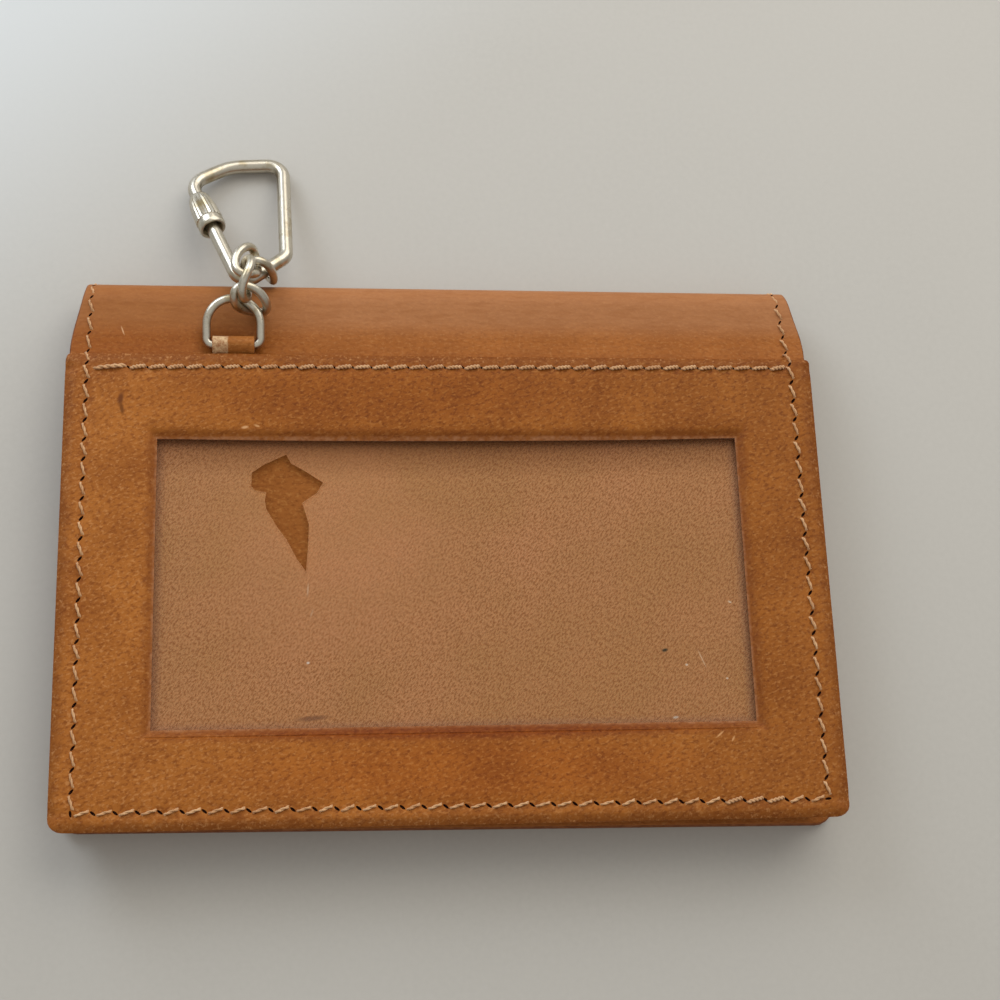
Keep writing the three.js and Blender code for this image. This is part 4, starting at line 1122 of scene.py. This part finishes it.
def bend_wire(start, corners, end, thickness):
    """Round wire in its own flat plane: straight to each corner and round it; sizes in millimetres."""
    bm = bmesh.new()
    here = Vector((*start, 0)) * MM
    stops = [Vector((*at, 0)) * MM for at, radius in corners] + [Vector((*end, 0)) * MM]
    face_on = (stops[0] - here).to_track_quat("Z", "Y").to_matrix().to_4x4()
    tip = bmesh.ops.create_circle(bm, segments=16, radius=thickness / 2,
                                  matrix=Matrix.Translation(here) @ face_on)["verts"]
    tip = tip + list({e for v in tip for e in v.link_edges})
    for i, (at, radius) in enumerate(corners):
        incoming = (stops[i] - here).normalized()
        outgoing = (stops[i + 1] - stops[i]).normalized()
        bend = incoming.angle(outgoing)
        reach = radius * MM * math.tan(bend / 2)
        straight = stops[i] - incoming * reach - here
        if straight.length > HAIR:
            tip = stretch(bm, tip, straight)
        centre = stops[i] + (outgoing - incoming).normalized() * radius * MM / math.cos(bend / 2)
        tip = bmesh.ops.spin(bm, geom=tip, cent=centre, axis=incoming.cross(outgoing), angle=bend,
                             steps=max(6, round(math.degrees(bend) / 6)))["geom_last"]
        here = stops[i] + outgoing * reach
    stretch(bm, tip, stops[-1] - here)
    bmesh.ops.remove_doubles(bm, verts=bm.verts, dist=WELD)
    bmesh.ops.holes_fill(bm, edges=bm.edges[:], sides=0)
    bmesh.ops.recalc_face_normals(bm, faces=bm.faces)
    return bm


end_wire = bend_wire((0, 0), END_RING_CORNERS, (0, 0), END_WIRE)
bmesh.ops.transform(end_wire, verts=end_wire.verts,
                    matrix=Matrix.Translation(BAR) @ Matrix.Rotation(END_RING_LEAN, 4, "X"))
end_ring = finish("end_ring_wire", end_wire, nickel)
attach(end_ring, "end_ring")
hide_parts("end_ring")

# Chain: four curb links of nickel-plated wire, each bent to an oval and twisted to lie flat against the next.
# The first hangs on the end ring, and the last holds the key ring.

LINK_WIRE = 1.2 * MM
LINK_POINTS = 48
LINK_LENGTH = 2.85 * MM
LINK_WIDTH = 1.8 * MM
LINK_TWIST = math.radians(28)
# Each link's middle, and its heading, pitch and roll in degrees as the chain lies.
LINKS = [
    ((-26.4, 39.2, 10.65), -21, -48, -131),
    ((-26.85, 41.5, 12.75), -95, -4, -95),
    ((-26.7, 44.7, 11.15), -107, 31, -33),
    ((-24.95, 44.95, 8.3), -4, -67, 111),
]
for number, (middle, heading, pitch, roll) in enumerate(LINKS, 1):
    path = bpy.data.curves.new(f"link_path_{number}", "CURVE")
    path.dimensions = "3D"
    path.bevel_depth = LINK_WIRE / 2
    path.bevel_resolution = 4
    wire = path.splines.new("POLY")
    wire.points.add(LINK_POINTS - 1)
    wire.use_cyclic_u = True
    lie = Euler([math.radians(a) for a in (roll, -pitch, heading)], "XYZ").to_matrix()
    for i, point in enumerate(wire.points):
        turn = 2 * math.pi * i / LINK_POINTS
        twist = LINK_TWIST * math.cos(turn)
        across = LINK_WIDTH * math.sin(turn)
        local = Vector((LINK_LENGTH * math.cos(turn), across * math.cos(twist), across * math.sin(twist)))
        point.co = (*(lie @ local + Vector(middle) * MM), 1)
    bent = bpy.data.objects.new(f"link_path_{number}", path)
    scene.collection.objects.link(bent)
    graph = bpy.context.evaluated_depsgraph_get()
    link_mesh = bmesh.new()
    link_mesh.from_mesh(bpy.data.meshes.new_from_object(bent.evaluated_get(graph)))
    bpy.data.objects.remove(bent)
    bmesh.ops.remove_doubles(link_mesh, verts=link_mesh.verts, dist=WELD)
    bmesh.ops.recalc_face_normals(link_mesh, faces=link_mesh.faces)
    link = finish(f"chain_link_wire_{number}", link_mesh, nickel)
    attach(link, f"link_{number}")
    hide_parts(f"chain_link_{number}")

# Key ring: thicker nickel-plated wire bent to a pear shape and threaded through the last chain link.
# Its straight left side is the gate: a gap between the wire's two ends, which the sleeve closes.

RING_WIRE = 1.92 * MM
RING_PLACE = Vector((-28, 44.1, 8)) * MM
RING_LEAN = math.radians(-18.6)
RING_STAND = Matrix.Translation(RING_PLACE) @ Matrix.Rotation(RING_LEAN, 4, "X")
# Corners of the bent wire and the radius of each bend.
RING_CORNERS = [
    ((-7.25, 18), 2.6),
    ((-1.9, 21.45), 7),
    ((5.8, 21.95), 2.4),
    ((6.4, 3.65), 1.8),
    ((0.3, -1.8), 1.8),
]
GAP_START = 3.8
GAP_END = 6.0
gate_start = Vector(RING_CORNERS[0][0])
gate_way = (Vector(RING_CORNERS[-1][0]) - gate_start).normalized()
ring_wire = bend_wire(gate_start + gate_way * GAP_START, RING_CORNERS,
                      gate_start + gate_way * GAP_END, RING_WIRE)
bmesh.ops.transform(ring_wire, verts=ring_wire.verts, matrix=RING_STAND)
key_ring = finish("key_ring_wire", ring_wire, nickel)
settle(key_ring)
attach(key_ring, "key_ring")
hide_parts("key_ring")

# Screw sleeve: a small turned, nickel-plated barrel with a straight knurl and a plain collar.
# It sits on the key ring's wire, along which it moves, and closes the gate.

SLEEVE_TOP = 3.1
# The barrel's section: radius and distance along the wire.
SLEEVE_PROFILE = [
    (1.12, 0.15), (1.2, 0.0), (1.3, 0.1), (1.5, 0.7), (1.64, 1.5), (1.76, 2.5), (1.84, 3.8),
    (1.88, 5.0), (1.78, 5.1), (1.78, 5.25), (1.9, 5.35), (1.92, 6.0), (1.86, 6.45), (1.74, 6.6),
    (1.52, 6.6), (1.44, 6.5), (1.26, 5.6), (1.12, 5.4),
]
KNURL_TEETH = 22
KNURL_DEPTH = 0.06 * MM
KNURL_START = 0.5 * MM
KNURL_END = 5.05 * MM
KNURL_INSIDE = 1.28 * MM
barrel = bmesh.new()
profile = [barrel.verts.new((radius * MM, along * MM, 0)) for radius, along in SLEEVE_PROFILE]
profile_edges = [barrel.edges.new((vert, profile[i - 1])) for i, vert in enumerate(profile)]
bmesh.ops.spin(barrel, geom=profile + profile_edges, cent=(0, 0, 0), axis=(0, 1, 0),
               angle=2 * math.pi, steps=4 * KNURL_TEETH, use_merge=True)
bmesh.ops.remove_doubles(barrel, verts=barrel.verts, dist=WELD)
bmesh.ops.recalc_face_normals(barrel, faces=barrel.faces)
for vert in barrel.verts:
    out = Vector((vert.co.x, 0, vert.co.z))
    if out.length > KNURL_INSIDE and KNURL_START < vert.co.y < KNURL_END:
        turn = math.atan2(vert.co.z, vert.co.x)
        vert.co += out.normalized() * KNURL_DEPTH * math.cos(KNURL_TEETH * turn)
gate_turn = Matrix.Rotation(math.atan2(-gate_way.x, gate_way.y), 4, "Z")
sleeve_seat = Vector((*(gate_start + gate_way * SLEEVE_TOP), 0)) * MM
bmesh.ops.transform(barrel, verts=barrel.verts,
                    matrix=RING_STAND @ Matrix.Translation(sleeve_seat) @ gate_turn)
sleeve = finish("key_ring_sleeve_barrel", barrel, nickel)
settle(sleeve, crease=35)
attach(sleeve, "sleeve")
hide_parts("key_ring_sleeve")
